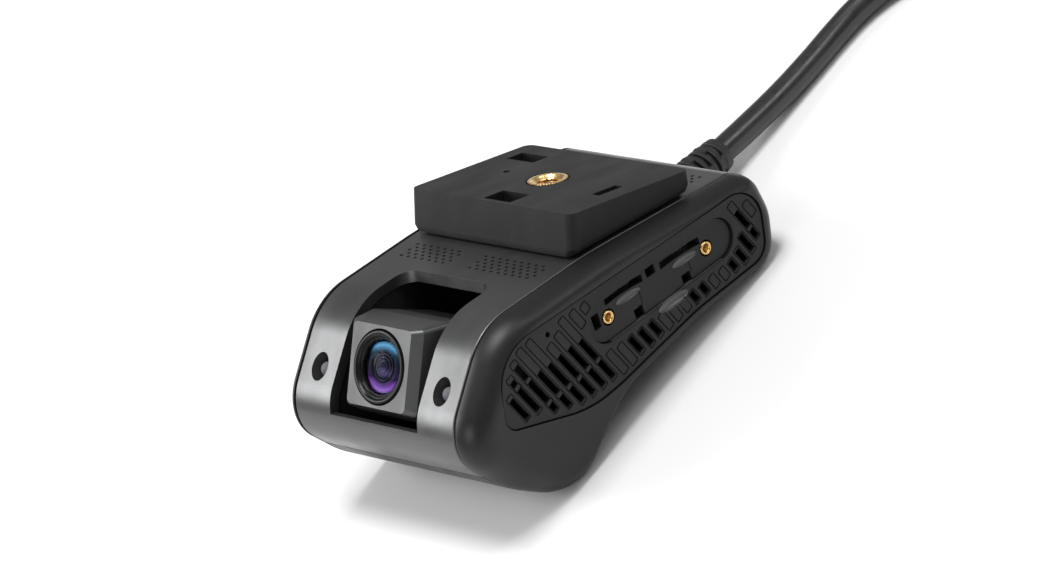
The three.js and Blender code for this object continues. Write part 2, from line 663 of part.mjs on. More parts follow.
const ringFront = -faceDistance - 0.3;
put("lens_ring", turned([[lensRingRadius, ringFront + 0.4], [lensRingRadius - 0.4, ringFront],
  [lensRingRadius - 0.9, ringFront], [glassRadius + gap, ringFront + 1.7],
  [glassRadius + gap, ringFront + 3.4], [lensRingRadius, ringFront + 3.4],
  [lensRingRadius, ringFront + 0.4]], 48), "black", lensModule);
const glassBack = ringFront + 3.4;
put("front_glass", turned([[0, ringFront + 0.9], [glassRadius * 0.4, ringFront + 1],
  [glassRadius * 0.75, ringFront + 1.35], [glassRadius, ringFront + 1.9],
  [glassRadius, glassBack], [0, glassBack - 1]], 48), "glass", lensModule);
const barrelFront = glassBack + gap;
put("lens_barrel", cut(
  turned([[0, barrelFront], [barrelRadius, barrelFront], [barrelRadius, barrelFront + barrelLength],
    [0, barrelFront + barrelLength]], 40),
  turned([[0, barrelFront - 1], [4.4, barrelFront - 1], [3, barrelFront + barrelLength + 1],
    [0, barrelFront + barrelLength + 1]], 32)), "black", lensModule);
put("inner_lens", turned([[0, barrelFront + 2.2], [1.6, barrelFront + 2.5], [2.8, barrelFront + 3.4],
  [2.8, barrelFront + 5], [0, barrelFront + 5]], 32), "glass", lensModule);
const sensorY = barrelFront + barrelLength + gap;
put("sensor_board", solid(box([-6.8, 6.8], [sensorY, sensorY + 1.2], [-8, 8])), "board", lensModule);

// ---- mount block --------------------------------------------------------------------------
// The block's underside follows the band's top, one base plate above it.
const [ridge, tailCorner] = sideOutline;
const headCorner = sideOutline.at(-1);
const slopeOf = ([y0, z0], [y1, z1]) => (z1 - z0) / (y1 - y0);
function aboveBand(y, lift) {
  const [corner, slope] = y > ridge[0] ? [ridge, slopeOf(ridge, tailCorner)]
    : [headCorner, slopeOf(headCorner, ridge)];
  return corner[1] + slope * (y - corner[0]) + lift;
}

function blockOutline(margin) {
  const half = blockWidth / 2 - margin;
  const shape = new THREE.Shape();
  const low = blockFront - blockDraft + margin;
  const high = blockRear - margin;
  const corner = blockCorner;
  shape.moveTo(-half + corner, low);
  shape.absarc(half - corner, low + corner, corner, -Math.PI / 2, 0);
  shape.absarc(half - corner, high - corner, corner, 0, Math.PI / 2);
  shape.absarc(-half + corner, high - corner, corner, Math.PI / 2, Math.PI);
  shape.absarc(-half + corner, low + corner, corner, Math.PI, 1.5 * Math.PI);
  return shape;
}

function blockSlab(margin) {
  return new THREE.ExtrudeGeometry(blockOutline(margin), { depth: 30, bevelEnabled: false, curveSegments: 5 })
    .translate(0, 0, -30);
}

function bandWedge(low, high) {
  const front = blockFront - 10;
  const rear = blockRear + 10;
  const points = (lift) => [front, ridge[0], rear].map((y) => [y, aboveBand(y, lift)]);
  return prism([...points(low), ...(high === null ? [[rear, 0], [front, 0]] : points(high).reverse())],
    -40, 40);
}

const blockFoot = gap + baseThickness + gap;
const leaningFront = prism([[-60, 1], [blockFront, 1], [blockFront, 0],
  [blockFront - blockDraft, aboveBand(blockFront, 0)], [blockFront - blockDraft, -40], [-60, -40]]
  .reverse(), -40, 40);
const blockBlank = solid(blockSlab(0)).intersect(solid(bandWedge(blockFoot, null)));
const mountPins = [-1, 1].flatMap((side) => [
  [side * mountPinX, mountPinFront], [side * mountPinX, mountPinRear]]);
put("mount_block", cut(geometryOf(blockBlank), leaningFront,
  ...hookHoles.map(([x, y, width, depth]) =>
    box([x - width / 2, x + width / 2], [y - depth / 2, y + depth / 2], [-hookDepth, 1])),
  rodZ(insertRadius + gap, -insertLength, 1, 0, 0, 32),
  ...mountPins.map(([x, y]) => rodZ(1.1, -20, aboveBand(y, blockFoot) + 2.5, x, y, 12))), "black");
mountPins.forEach(([x, y], i) => put(`mount_pin_${i + 1}`,
  rodZ(0.8, aboveBand(y, 2 * gap), aboveBand(y, blockFoot) + 2, x, y, 12), "steel"));
put("tripod_insert", cut(rodZ(insertRadius, -insertLength + gap, 0.1, 0, 0, 32),
  rodZ(insertBore, -insertLength - 1, 1, 0, 0, 24)), "brass");
put("mount_base", cut(geometryOf(solid(blockSlab(baseInset)).intersect(
  solid(bandWedge(gap, gap + baseThickness)))),
...mountPins.map(([x, y]) => rodZ(1.1, -20, 0, x, y, 12))), "black");

// ---- onto the table -----------------------------------------------------------------------
// The line under the camera that touches the head's and the tail's rounded bottoms.
const resting = eased(sideOutline);
const [headArc, tailArc] = [headBottom, tailBottom].map((i) => cornerArc(resting, i));
const between = [tailArc.centre[0] - headArc.centre[0], tailArc.centre[1] - headArc.centre[1]];
const pitch = Math.atan2(between[1], between[0])
  + Math.asin((headArc.radius - tailArc.radius) / Math.hypot(...between));
const tipped = ([y, z]) => [
  y * Math.cos(pitch) + z * Math.sin(pitch), z * Math.cos(pitch) - y * Math.sin(pitch)];
const tippedOutline = rounded(sideOutline).map(tipped);
const tableDrop = -Math.min(...tippedOutline.map(([, z]) => z));
const tippedY = tippedOutline.map(([y]) => y);
const centreY = (Math.min(...tippedY) + Math.max(...tippedY)) / 2;
body.rotation.x = -pitch;
body.position.set(-bodyShift, -centreY, tableDrop);

// ---- cable --------------------------------------------------------------------------------
gland.position.set(0, ...cableExit);
gland.rotation.x = radians(cableAngle);
const bore = cableRadius + gap;
const glandProfile = [[bore, flange.far], [flange.radius, flange.far], [flange.radius, flange.near],
  [glandRadius, flange.near]];
const ribPitch = (glandLength - 3) / glandRibs;
for (let rib = 0; rib < glandRibs; rib += 1) {
  const radiusAt = (count) => glandRadius + ((glandEnd - glandRadius) * count) / glandRibs;
  const start = 2 + rib * ribPitch;
  glandProfile.push([radiusAt(rib), start], [radiusAt(rib) - 0.8, start + 0.3],
    [radiusAt(rib) - 0.8, start + 1], [radiusAt(rib + 0.5), start + 1.3]);
}
glandProfile.push([glandEnd, glandLength], [bore, glandLength], [bore, flange.far]);
put("cable_gland", turned(glandProfile, 32), "rubber", gland);

// Chosen points of the cable's centre line: from the gland to the coil, lying on the table from
// the fifth on, and from the coil down to the plug.
const cableRun = [
  [-2.1, 39.3, 8.2], [-2.1, 61.2, 5.72], [-2.1, 71, 4.55], [-2.1, 82, 3.5], [-2.1, 93, 3.05],
  [-2.1, 104, 3.05], [-0.9, 113, 3.05], [2.4, 120.8, 3.05],
];
const cableTail = [
  [22.8, 187.4, 7.6], [21.2, 196, 5.6], [20.4, 203, 4.6], [20.2, 208, 4.5], [20.2, 211, 4.5],
];
const coilCentre = [-6, 160];
const coilLift = 1;                 // the strap passes under the coil

function tube(points) {
  const curve = new THREE.CatmullRomCurve3(points.map((point) => new THREE.Vector3(...point)),
    false, "centripetal");
  const section = new THREE.Shape();
  section.absarc(0, 0, cableRadius, 0, 2 * Math.PI);
  const steps = Math.ceil(curve.getLength() / (4 * cableRadius));
  return new THREE.ExtrudeGeometry(section, { steps, bevelEnabled: false, extrudePath: curve, curveSegments: 5 });
}

put("cable_run", tube(cableRun), "cable", camera);
put("cable_tail", tube(cableTail), "cable", camera);
const coilTop = coilLift + coilHeight;
const coil = put("cable_coil", turned([[coilInner, coilLift], [coilOuter, coilLift], [coilOuter, coilTop],
  [coilInner, coilTop], [coilInner, coilLift]], 48).rotateX(Math.PI / 2), "cable", camera);
coil.position.set(...coilCentre, 0);

// The strap is a closed loop round the coil's bundle, with its head inside the coil.
const strapX = [coilCentre[0] - coilOuter, coilCentre[0] - coilInner];
const strapHoleX = [strapX[0] - gap, strapX[1] + gap];
const strapOuterX = [strapHoleX[0] - strapWall, strapHoleX[1] + strapWall];
const strapY = [coilCentre[1] - strapWidth / 2, coilCentre[1] + strapWidth / 2];
const strapTop = coilTop + gap + strapWall;
const strapHead = box([strapOuterX[1] - 0.1, strapOuterX[1] + 2.6], [strapY[0] - 1, strapY[1] + 1], [5, 10]);
put("cable_strap", cut(geometryOf(solid(box(strapOuterX, strapY, [0, strapTop])).add(solid(strapHead))),
  box(strapHoleX, [strapY[0] - 5, strapY[1] + 5], [strapWall, coilTop + gap])), "black", camera);

// ---- plug ---------------------------------------------------------------------------------
// In the plug's own frame the cable comes in along +Y at y = 0.
const [plugX, plugY, plugZ] = cableTail.at(-1);
plug.position.set(plugX, plugY + gap, 0);
put("plug_housing", cut(box([-plugWidth / 2, plugWidth / 2], [0, plugLength], [0, plugHeight]),
  box([-plugWidth / 2 + plugWall, plugWidth / 2 - plugWall],
    [plugLength - plugMouth, plugLength + 1], [plugWall, plugHeight - plugWall])), "black", plug);
for (let pin = 0; pin < 4; pin += 1) {
  const x = (pin - 1.5) * contactPitch;
  put(`plug_contact_${pin + 1}`, box([x - 0.4, x + 0.4],
    [plugLength - plugMouth + gap, plugLength - 4], [plugZ - 0.4, plugZ + 0.4]), "brass", plug);
}
const latchLift = plugHeight + 0.9;
put("plug_latch", solid(box([-latchWidth / 2, latchWidth / 2], [4.5, 19.5], [latchLift, latchLift + 1.3]))
  .add(solid(box([-latchWidth / 2, latchWidth / 2], [10, 12], [plugHeight + gap, latchLift + 0.1])))
  .add(solid(box([-latchWidth / 2, latchWidth / 2], [17.5, 19.5], [plugHeight + gap, latchLift + 0.1]))),
"black", plug);

export default camera;
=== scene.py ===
"""Dash camera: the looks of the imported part, in Blender 4.5.

Shapes are drawn in millimetres in the camera body's own frame, whose origin is the centre of the
mount block's top face and whose Z is that face's normal, and are then tipped onto the table.
"""
from math import acos, atan2, copysign, cos, hypot, pi, radians, sin, tan

import bmesh
import bpy
from mathutils import Matrix, Vector


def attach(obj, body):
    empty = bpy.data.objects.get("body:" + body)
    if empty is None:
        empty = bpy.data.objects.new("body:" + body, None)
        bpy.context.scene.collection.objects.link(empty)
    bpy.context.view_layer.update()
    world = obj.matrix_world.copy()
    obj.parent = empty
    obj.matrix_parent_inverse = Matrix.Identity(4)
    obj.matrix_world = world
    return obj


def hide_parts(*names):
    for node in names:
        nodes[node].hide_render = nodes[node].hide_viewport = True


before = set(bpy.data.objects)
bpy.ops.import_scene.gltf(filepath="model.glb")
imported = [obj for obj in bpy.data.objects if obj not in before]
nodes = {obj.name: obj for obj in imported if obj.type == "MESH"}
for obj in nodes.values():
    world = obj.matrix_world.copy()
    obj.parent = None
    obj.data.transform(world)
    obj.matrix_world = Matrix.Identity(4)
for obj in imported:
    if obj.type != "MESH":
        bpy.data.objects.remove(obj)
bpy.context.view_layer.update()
scene = bpy.context.scene
MM = 0.001

# ---- frames ----
PITCH = radians(26.4658)
TILT_AXIS = (-36.7, -30.0)          # y, z of the lens module's hinge, in the body's frame
LENS_PITCH = radians(17.8)
CABLE_EXIT = (33.4, -14.2)
CABLE_ANGLE = radians(20)


def about_x(turn):
    return Matrix.Rotation(turn, 4, "X")


def placed(x, y, z, turn):
    return Matrix.Translation(Vector((x, y, z)) * MM) @ about_x(turn)


def linked(name, data):
    """A new object in the scene."""
    thing = bpy.data.objects.new(name, data)
    scene.collection.objects.link(thing)
    return thing


TABLE = Matrix.Identity(4)
BODY = placed(-2.1, 20.7047, 35.2311, -PITCH)
MODULE = BODY @ placed(0, *TILT_AXIS, -LENS_PITCH)
GLAND = BODY @ placed(0, *CABLE_EXIT, CABLE_ANGLE)

# ---- camera ----
CAMERA_PLACE = (0.80009, -0.46667, 0.60190)
CAMERA_RIGHT = (0.67003, 0.59320, -0.44629)
CAMERA_DOWN = (0.12264, -0.68139, -0.72158)
CAMERA_FORWARD = (-0.73214, 0.42875, -0.52929)
SENSOR = 36.0
FOCAL_PIXELS = 5255.0
PHOTO_WIDTH = 1052.0

camera_data = bpy.data.cameras.new("photo_camera")
camera_data.sensor_width = SENSOR
camera_data.lens = SENSOR * FOCAL_PIXELS / PHOTO_WIDTH
camera_data.clip_start = 0.05       # metres
camera = linked("photo_camera", camera_data)
axes = [Vector(CAMERA_RIGHT), -Vector(CAMERA_DOWN), -Vector(CAMERA_FORWARD)]
camera.matrix_world = Matrix.Translation(CAMERA_PLACE) @ Matrix(axes).transposed().to_4x4()
scene.camera = camera


# ---- outlines ----
def corner_arc(corners, i):
    """The centre of the arc that rounds corner i, its radius, its two end angles and its trim."""
    y, z, radius = corners[i]
    here = Vector((y, z))
    back = (Vector(corners[i - 1][:2]) - here).normalized()
    ahead = (Vector(corners[(i + 1) % len(corners)][:2]) - here).normalized()
    half = acos(max(-1, min(1, back.dot(ahead)))) / 2
    centre = here + (back + ahead).normalized() * (radius / sin(half))
    trim = radius / tan(half)
    ends = [here + side * trim - centre for side in (back, ahead)]
    return centre, radius, [atan2(end.y, end.x) for end in ends], trim


def eased(corners):
    """Reduces a corner's radius where its arc and its neighbour's don't both fit on the edge."""
    count = len(corners)
    trims = [corner_arc(corners, i)[3] for i in range(count)]
    result = []
    for i, (y, z, radius) in enumerate(corners):
        shares = []
        for other in (i - 1, (i + 1) % count):
            edge = hypot(corners[other][0] - y, corners[other][1] - z)
            shares.append(0.98 * edge / (trims[i] + trims[other]))
        result.append((y, z, radius * min(1, *shares)))
    return result


def rounded(corners, steps=14):
    corners = eased(corners)
    points = []
    for i in range(len(corners)):
        centre, radius, (start, end), _ = corner_arc(corners, i)
        sweep = atan2(sin(end - start), cos(end - start))
        points += arc(centre, radius, start, sweep, steps)
    return points


def inset(corners, distances):
    """Moves each edge of a clockwise rounded outline inwards by its own distance."""
    count = len(corners)
    if not hasattr(distances, "__len__"):
        distances = [distances] * count
    edges = []
    for i, (y, z, _) in enumerate(corners):
        along = (Vector(corners[(i + 1) % count][:2]) - Vector((y, z))).normalized()
        edges.append((Vector((y, z)) + Vector((along.y, -along.x)) * distances[i], along))
    result = []
    for i, (_, _, radius) in enumerate(corners):
        (start, before), (other, after) = edges[i - 1], edges[i]
        cross = before.x * after.y - before.y * after.x
        offset = other - start
        reach = (offset.x * after.y - offset.y * after.x) / cross
        point = start + before * reach
        drawn = min(distances[i - 1], distances[i])
        result.append((point.x, point.y, max(0.8, radius + copysign(drawn, cross))))
    return result


def arc(centre, radius, start, sweep, steps):
    turns = [start + sweep * k / steps for k in range(steps + 1)]
    return [(centre[0] + radius * cos(t), centre[1] + radius * sin(t)) for t in turns]


def turned_about(centre, angle, points):
    c, s = cos(angle), sin(angle)
    return [(centre[0] + c * a - s * b, centre[1] + s * a + c * b) for a, b in points]


def circle(radius, segments, centre=(0, 0)):
    return arc(centre, radius, 0, 2 * pi, segments)[:-1]


def stadium(centre, length, width, angle, steps=14):
    radius = width / 2
    points = []
    for side in (1, -1):
        points += arc((side * (length / 2 - radius), 0), radius, -side * pi / 2, pi,
                      steps)
    return turned_about(centre, angle, points)


def block(centre, length, height, angle, corner=0.25, steps=3):
    """A rectangle with small round corners, anticlockwise."""
    points = []
    for quarter, (a, b) in enumerate(((1, 1), (-1, 1), (-1, -1), (1, -1))):
        points += arc((a * (length / 2 - corner), b * (height / 2 - corner)), corner,
                      pi / 2 * quarter, pi / 2, steps)
    return turned_about(centre, angle, points)


# ---- meshes ----
def mesh_from(work):
    """Ends bmesh work as a new mesh."""
    mesh = bpy.data.meshes.new("shape")
    work.to_mesh(mesh)
    work.free()
    return mesh


def worked(*meshes):
    """A bmesh of one or more meshes."""
    work = bmesh.new()
    for mesh in meshes:
        work.from_mesh(mesh)
    return work


def evaluated(thing):
    """The mesh of an object with its modifiers applied; the object goes."""
    bpy.context.view_layer.update()
    mesh = bpy.data.meshes.new_from_object(
        thing.evaluated_get(bpy.context.evaluated_depsgraph_get()))
    bpy.data.objects.remove(thing)
    return mesh


def mesh_of(points, faces):
    mesh = bpy.data.meshes.new("shape")
    mesh.from_pydata([tuple(p) for p in points], [], faces)
    work = worked(mesh)
    bmesh.ops.remove_doubles(work, verts=work.verts, dist=1e-4)
    bmesh.ops.recalc_face_normals(work, faces=work.faces)
    return mesh_from(work)


def skin(rings, caps=True, closed=False):
    """Joins equal rings of 3-D points; caps close its ends, or closed joins last to first."""
    count = len(rings[0])
    faces = []
    for level in range(len(rings) if closed else len(rings) - 1):
        a, b = level * count, (level + 1) % len(rings) * count
        for i in range(count):
            j = (i + 1) % count
            faces.append((a + i, a + j, b + j, b + i))
    if caps and not closed:
        faces.append(tuple(range(count)))
        faces.append(tuple((len(rings) - 1) * count + i for i in reversed(range(count))))
    return mesh_of([p for ring in rings for p in ring], faces)


def loft(levels):
    """Skins outlines on (y, z) that stand at places along X."""
    return skin([[(x, y, z) for y, z in points] for x, points in levels])


def prism(points, x0, x1):
    return loft([(x0, points), (x1, points)])


def rod_x(radius, x0, x1, y, z, segments=24):
    """A cylinder along X."""
    return prism(circle(radius, segments, (y, z)), x0, x1)


def drum(radius, z0, z1, x=0.0, y=0.0, segments=48):
    """A cylinder along Z."""
    return skin([[(a, b, z) for a, b in circle(radius, segments, (x, y))] for z in (z0, z1)])


def box(xs, ys, zs):
    points = [(x, y, z) for x in xs for y in ys for z in zs]
    return mesh_of(points, [(0, 1, 3, 2), (4, 6, 7, 5), (0, 4, 5, 1), (2, 3, 7, 6), (0, 2, 6, 4),
                            (1, 5, 7, 3)])


def lathe(profile, segments=64, wave=None, closed=True):
    """A solid of revolution about Y from (radius, y) points; wave may change a radius by angle."""
    rings = []
    for radius, y in profile:
        ring = []
        for k in range(segments):
            turn = 2 * pi * k / segments
            r = radius + (wave(radius, k) if wave else 0)
            ring.append((r * cos(turn), y, r * sin(turn)))
        rings.append(ring)
    return skin(rings, caps=not closed, closed=closed)


def moved(mesh, matrix):
    mesh.transform(matrix)
    return mesh


def joined(*meshes):
    return mesh_from(worked(*meshes))


def carved(mesh, *cutters, operation="DIFFERENCE", solver="MANIFOLD"):
    base = linked("base", mesh)
    tools = [linked("tool", cutter) for cutter in cutters]
    for tool in tools:
        modifier = base.modifiers.new("carve", "BOOLEAN")
        modifier.object = tool
        modifier.operation = operation
        modifier.solver = solver
    result = evaluated(base)
    for tool in tools:
        bpy.data.objects.remove(tool)
    return result


def softened(mesh, width, where=None, angle=32, segments=3):
    """Rounds the edges that turn more than angle and whose middle passes where."""
    work = worked(mesh)
    bmesh.ops.remove_doubles(work, verts=work.verts, dist=2e-3)
    bmesh.ops.dissolve_limit(work, angle_limit=radians(0.6), verts=work.verts,
                             edges=work.edges)
    limit = radians(angle)
    edges = [edge for edge in work.edges
             if len(edge.link_faces) == 2 and edge.calc_face_angle(0) > limit
             and (where is None or where((edge.verts[0].co + edge.verts[1].co) / 2))]
    bmesh.ops.bevel(work, geom=edges, offset=width, offset_type="OFFSET", segments=segments,
                    profile=0.5, affect="EDGES", clamp_overlap=True)
    bmesh.ops.recalc_face_normals(work, faces=work.faces)
    return mesh_from(work)


def plate(outlines, x0, x1, edge):
    """A flat plate on (y, z) from x0 to x1; an outline inside another is a hole in it."""
    curve = bpy.data.curves.new("plate", "CURVE")
    curve.dimensions = "2D"
    curve.fill_mode = "BOTH"
    curve.extrude = (x1 - x0) / 2 - edge
    curve.bevel_depth = edge
    curve.bevel_resolution = 2
    curve.offset = -edge
    for outline in outlines:
        spline = curve.splines.new("POLY")
        spline.points.add(len(outline) - 1)
        for point, (a, b) in zip(spline.points, outline):
            point.co = (a, b, 0, 1)
        spline.use_cyclic_u = True
    work = worked(evaluated(linked("plate", curve)))
    bmesh.ops.remove_doubles(work, verts=work.verts, dist=1e-3)
    turn = Matrix(((0, 0, 1, (x0 + x1) / 2), (1, 0, 0, 0), (0, 1, 0, 0), (0, 0, 0, 1)))
    return moved(mesh_from(work), turn)


def add(name, mesh, finish, place=BODY, body="camera_body", replaces=(), smooth=40):
    """Adds a piece that was drawn in millimetres in the frame place."""
    mesh.transform(place @ Matrix.Scale(MM, 4))
    mesh.name = name
    mesh.materials.clear()
    mesh.materials.append(finish)
    mesh.shade_smooth()
    mesh.set_sharp_from_angle(angle=radians(smooth))
    piece = linked(name, mesh)
    normals = piece.modifiers.new("weighted", "WEIGHTED_NORMAL")
    normals.keep_sharp = True
    normals.weight = 80
    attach(piece, body)
    if replaces:
        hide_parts(*replaces)
    return piece


# ---- materials ----
class Nodes:
    """A material's node tree, with short ways to add and link nodes."""

    def __init__(self, name):
        self.material = bpy.data.materials.new(name)
        self.material.use_nodes = True
        self.tree = self.material.node_tree
        self.shader = self.tree.nodes["Principled BSDF"]
        self.place = self.node("ShaderNodeTexCoord").outputs["Object"]

    def feed(self, socket, value):
        """Links another socket to this one, or sets it to a number, vector or colour."""
        if isinstance(value, bpy.types.NodeSocket):
            self.tree.links.new(value, socket)
        else:
            socket.default_value = value

    def node(self, kind, **settings):
        made = self.tree.nodes.new(kind)
        for key, value in settings.items():
            setattr(made, key, value)
        return made

    def noise(self, scale, detail=4.0, stretch=None):
        texture = self.node("ShaderNodeTexNoise")
        texture.inputs["Scale"].default_value = scale
        texture.inputs["Detail"].default_value = detail
        source = self.place
        if stretch:
            mapping = self.node("ShaderNodeMapping")
            mapping.inputs["Scale"].default_value = stretch
            self.feed(mapping.inputs["Vector"], self.place)
            source = mapping.outputs["Vector"]
        self.feed(texture.inputs["Vector"], source)
        return texture.outputs["Fac"]

    def reckoned(self, kind, operation, *values):
        """A maths node whose inputs are numbers, vectors or sockets."""
        made = self.node(kind, operation=operation)
        for socket, value in zip(made.inputs, values):
            self.feed(socket, value)
        return made.outputs["Value"]

    def ranged(self, source, low, high, start=0.3, end=0.7):
        """Maps a factor's start..end to low..high."""
        mapped = self.node("ShaderNodeMapRange")
        for name, value in (("Value", source), ("From Min", start), ("From Max", end),
                            ("To Min", low), ("To Max", high)):
            self.feed(mapped.inputs[name], value)
        return mapped.outputs["Result"]

    def mixed(self, factor, first, second):
        """Mixes two colours, each a tuple or a socket."""
        mix = self.node("ShaderNodeMix", data_type="RGBA")
        for name, value in (("Factor", factor), (6, first), (7, second)):
            self.feed(mix.inputs[name], (*value, 1) if isinstance(value, tuple) else value)
        return mix.outputs[2]

    def bump(self, heights):
        """Stacks bumps, each (factor, strength, distance in metres)."""
        before = None
        for height, strength, distance in heights:
            bump = self.node("ShaderNodeBump")
            for name, value in (("Strength", strength), ("Distance", distance),
                                ("Height", height)):
                self.feed(bump.inputs[name], value)
            if before is not None:
                self.feed(bump.inputs["Normal"], before)
            before = bump.outputs["Normal"]
        self.set(Normal=before)

    def set(self, **values):
        for key, value in values.items():
            self.feed(self.shader.inputs[key.replace("_", " ")], value)


DEEP = (0.004, 0.004, 0.004)        # the dark inside a lens


def grey(value, warmth=0.0):
    return (value * (1 + warmth), value, value * (1 - warmth))


def moulded(name, colour, roughness, grain=5200, depth=0.25, metallic=0.0, level=0.5, worn=0.25):
    """A moulded, painted or cast surface: fine grain, cloudy gloss, faint wipe marks and dust."""
    n = Nodes(name)
    cloud = n.noise(55, 5)
    wipe = n.noise(160, 6, stretch=(1, 0.18, 0.6))
    speckle = n.noise(grain, 2)
    lighter = tuple(min(1, c * (1 + worn)) for c in colour)
    darker = tuple(c * (1 - worn * 0.6) for c in colour)
    tone = n.mixed(n.ranged(cloud, 0, 1), darker, lighter)
    sheen = n.reckoned("ShaderNodeMath", "ADD",
                       n.ranged(wipe, roughness - 0.05, roughness + 0.06),
                       n.ranged(speckle, -0.03, 0.03))
    n.bump([(speckle, depth, 0.00006), (n.noise(900, 3), depth * 0.25, 0.0001)])
    n.set(Base_Color=n.mixed(n.ranged(speckle, 0, 0.35, 0.5, 0.8), tone, lighter),
          Roughness=sheen, Metallic=metallic, Specular_IOR_Level=level)
    return n.material


def machined(name, colour, roughness):
    """Turned or rolled metal: fine lines one way, and a little tarnish."""
    n = Nodes(name)
    brush = n.noise(4200, 3, stretch=(1, 0.05, 1))
    tarnish = n.noise(700, 5)
    dull = tuple(c * 0.6 for c in colour)
    n.bump([(brush, 0.2, 0.00004)])
    n.set(Base_Color=n.mixed(n.ranged(tarnish, 0, 0.7, 0.45, 0.8), colour, dull),
          Roughness=n.ranged(brush, roughness - 0.08, roughness + 0.1), Metallic=1.0)
    return n.material


def circuit(name):
    """Green solder mask over tracks and pads."""
    n = Nodes(name)
    tracks = n.node("ShaderNodeTexVoronoi", distance="MANHATTAN", feature="DISTANCE_TO_EDGE")
    tracks.inputs["Scale"].default_value = 420
    n.feed(tracks.inputs["Vector"], n.place)
    edge = n.ranged(tracks.outputs["Distance"], 1, 0, 0.02, 0.06)
    masked = n.mixed(edge, (0.008, 0.05, 0.022), (0.03, 0.13, 0.05))
    n.bump([(edge, 0.5, 0.00005)])
    n.set(Base_Color=n.mixed(n.ranged(n.noise(300), 0, 0.5), masked, (0.01, 0.07, 0.03)),
          Roughness=n.ranged(n.noise(900), 0.25, 0.45), Coat_Weight=0.4)
    return n.material


def clear_glass(name, tint, weight=1.0):
    n = Nodes(name)
    smear = n.noise(250, 4)
    n.bump([(n.noise(1800, 2), 0.01, 0.00002)])
    n.set(Base_Color=n.mixed(n.ranged(smear, 0, 1), tint, tuple(c * 0.93 for c in tint)),
          Roughness=n.ranged(smear, 0.0, 0.012), Transmission_Weight=weight, IOR=1.08)
    return n.material


def painted_reflections(name, rim, bands, ring=None):
    """A lens element's painted reflections: colours by height across it, from (height in mm,
    colour), which paint the lamps' reflections onto it.

    They fade in from a dark middle between the two radii of ring, in mm.
    """
    n = Nodes(name)
    up = MODULE.to_3x3() @ Vector((0, 0, 1))
    centre_height = up.dot(MODULE.translation)
    height = n.reckoned("ShaderNodeVectorMath", "DOT_PRODUCT", n.place, up)
    wobbly = n.reckoned("ShaderNodeMath", "MULTIPLY_ADD", n.noise(260, 2), 0.0006, height)
    ramp = n.node("ShaderNodeValToRGB")
    ramp.color_ramp.interpolation = "B_SPLINE"
    while len(ramp.color_ramp.elements) < len(bands):
        ramp.color_ramp.elements.new(0.5)
    for element, (level, colour) in zip(ramp.color_ramp.elements, bands):
        element.position = (level + rim) / (2 * rim)
        element.color = (*colour, 1)
    n.feed(ramp.inputs["Fac"],
           n.ranged(wobbly, 0, 1, centre_height - rim * MM, centre_height + rim * MM))
    colours = ramp.outputs["Color"]
    if ring:
        flat = n.node("ShaderNodeCombineXYZ")
        across = n.reckoned("ShaderNodeVectorMath", "DOT_PRODUCT", n.place, (1, 0, 0))
        for value, middle, axis in ((across, MODULE.translation.x, "X"),
                                    (height, centre_height, "Y")):
            n.feed(flat.inputs[axis], n.reckoned("ShaderNodeMath", "SUBTRACT", value, middle))
        reach = n.reckoned("ShaderNodeVectorMath", "LENGTH", flat.outputs["Vector"])
        inner, outer = (radius * MM for radius in ring)
        colours = n.mixed(n.ranged(reach, 0, 1, inner, outer), DEEP, colours)
    n.bump([(n.noise(2600, 2), 0.03, 0.00002)])
    n.set(Base_Color=colours, Roughness=n.ranged(n.noise(900, 2), 0.2, 0.28),
          Specular_IOR_Level=0.05)
    return n.material


def drawn_cable(name):
    """Extruded PVC: glossy, with a slight drawn ripple and handling marks."""
    n = Nodes(name)
    n.bump([(n.noise(1500, 2), 0.12, 0.00008), (n.noise(6000, 2), 0.12, 0.00003)])
    n.set(Base_Color=n.mixed(n.ranged(n.noise(70, 4), 0, 1), grey(0.008), grey(0.015)),
          Roughness=n.ranged(n.noise(420, 5), 0.26, 0.4), Coat_Weight=0.25, Coat_Roughness=0.2)
    return n.material


def floor_paper(name):
    n = Nodes(name)
    n.bump([(n.noise(900), 0.05, 0.0001)])
    n.set(Base_Color=n.mixed(n.ranged(n.noise(6, 3), 0, 1), grey(0.83), grey(0.87)),
          Roughness=n.ranged(n.noise(40), 0.7, 0.85))
    return n.material


GUNMETAL = moulded("gunmetal_paint", grey(0.12, -0.01), 0.34, grain=4200, depth=0.1,
                   metallic=0.85, worn=0.1)
BLACK = moulded("black_plastic", grey(0.009), 0.4, depth=0.12, level=0.35)
PANEL = moulded("panel_plastic", grey(0.014), 0.48, level=0.25)
BLOCK = moulded("block_plastic", grey(0.011), 0.55, grain=3800, depth=0.35, level=0.22)
MODULE_PAINT = moulded("module_paint", grey(0.085, -0.01), 0.42, grain=4600, depth=0.1,
                       metallic=0.75, worn=0.08)
GLOSS = moulded("gloss_black", grey(0.004), 0.27, grain=2600, depth=0.04, level=0.2)
WELL = moulded("well_plastic", grey(0.012), 0.5)
RUBBER = moulded("gland_rubber", grey(0.011), 0.48, grain=3000, depth=0.3)
NYLON = moulded("nylon", (0.62, 0.6, 0.54), 0.45, worn=0.08)
CERAMIC = moulded("ceramic", (0.5, 0.46, 0.36), 0.6, worn=0.1)
CONE = moulded("lamp_cone", grey(0.05), 0.3, metallic=0.6, depth=0.08)
STRAP = moulded("strap_nylon", grey(0.018), 0.4)
BRASS = machined("brass", (0.83, 0.56, 0.24), 0.26)
STEEL = machined("steel", (0.5, 0.5, 0.5), 0.32)
ALUMINIUM = machined("aluminium", (0.68, 0.69, 0.7), 0.36)
BOARD = circuit("circuit_board")
# painted highlight: the lighter grey given to the hollows of the card bay and the panel's notch, in
# place of the light they catch
HOLLOW_HIGHLIGHT = moulded("hollow_painted_highlight", grey(0.09), 0.3, depth=0.1)
RIM = moulded("element_rim", grey(0.09), 0.35, metallic=0.6, depth=0.05)
GLASS = clear_glass("front_glass", (0.62, 0.66, 0.8))
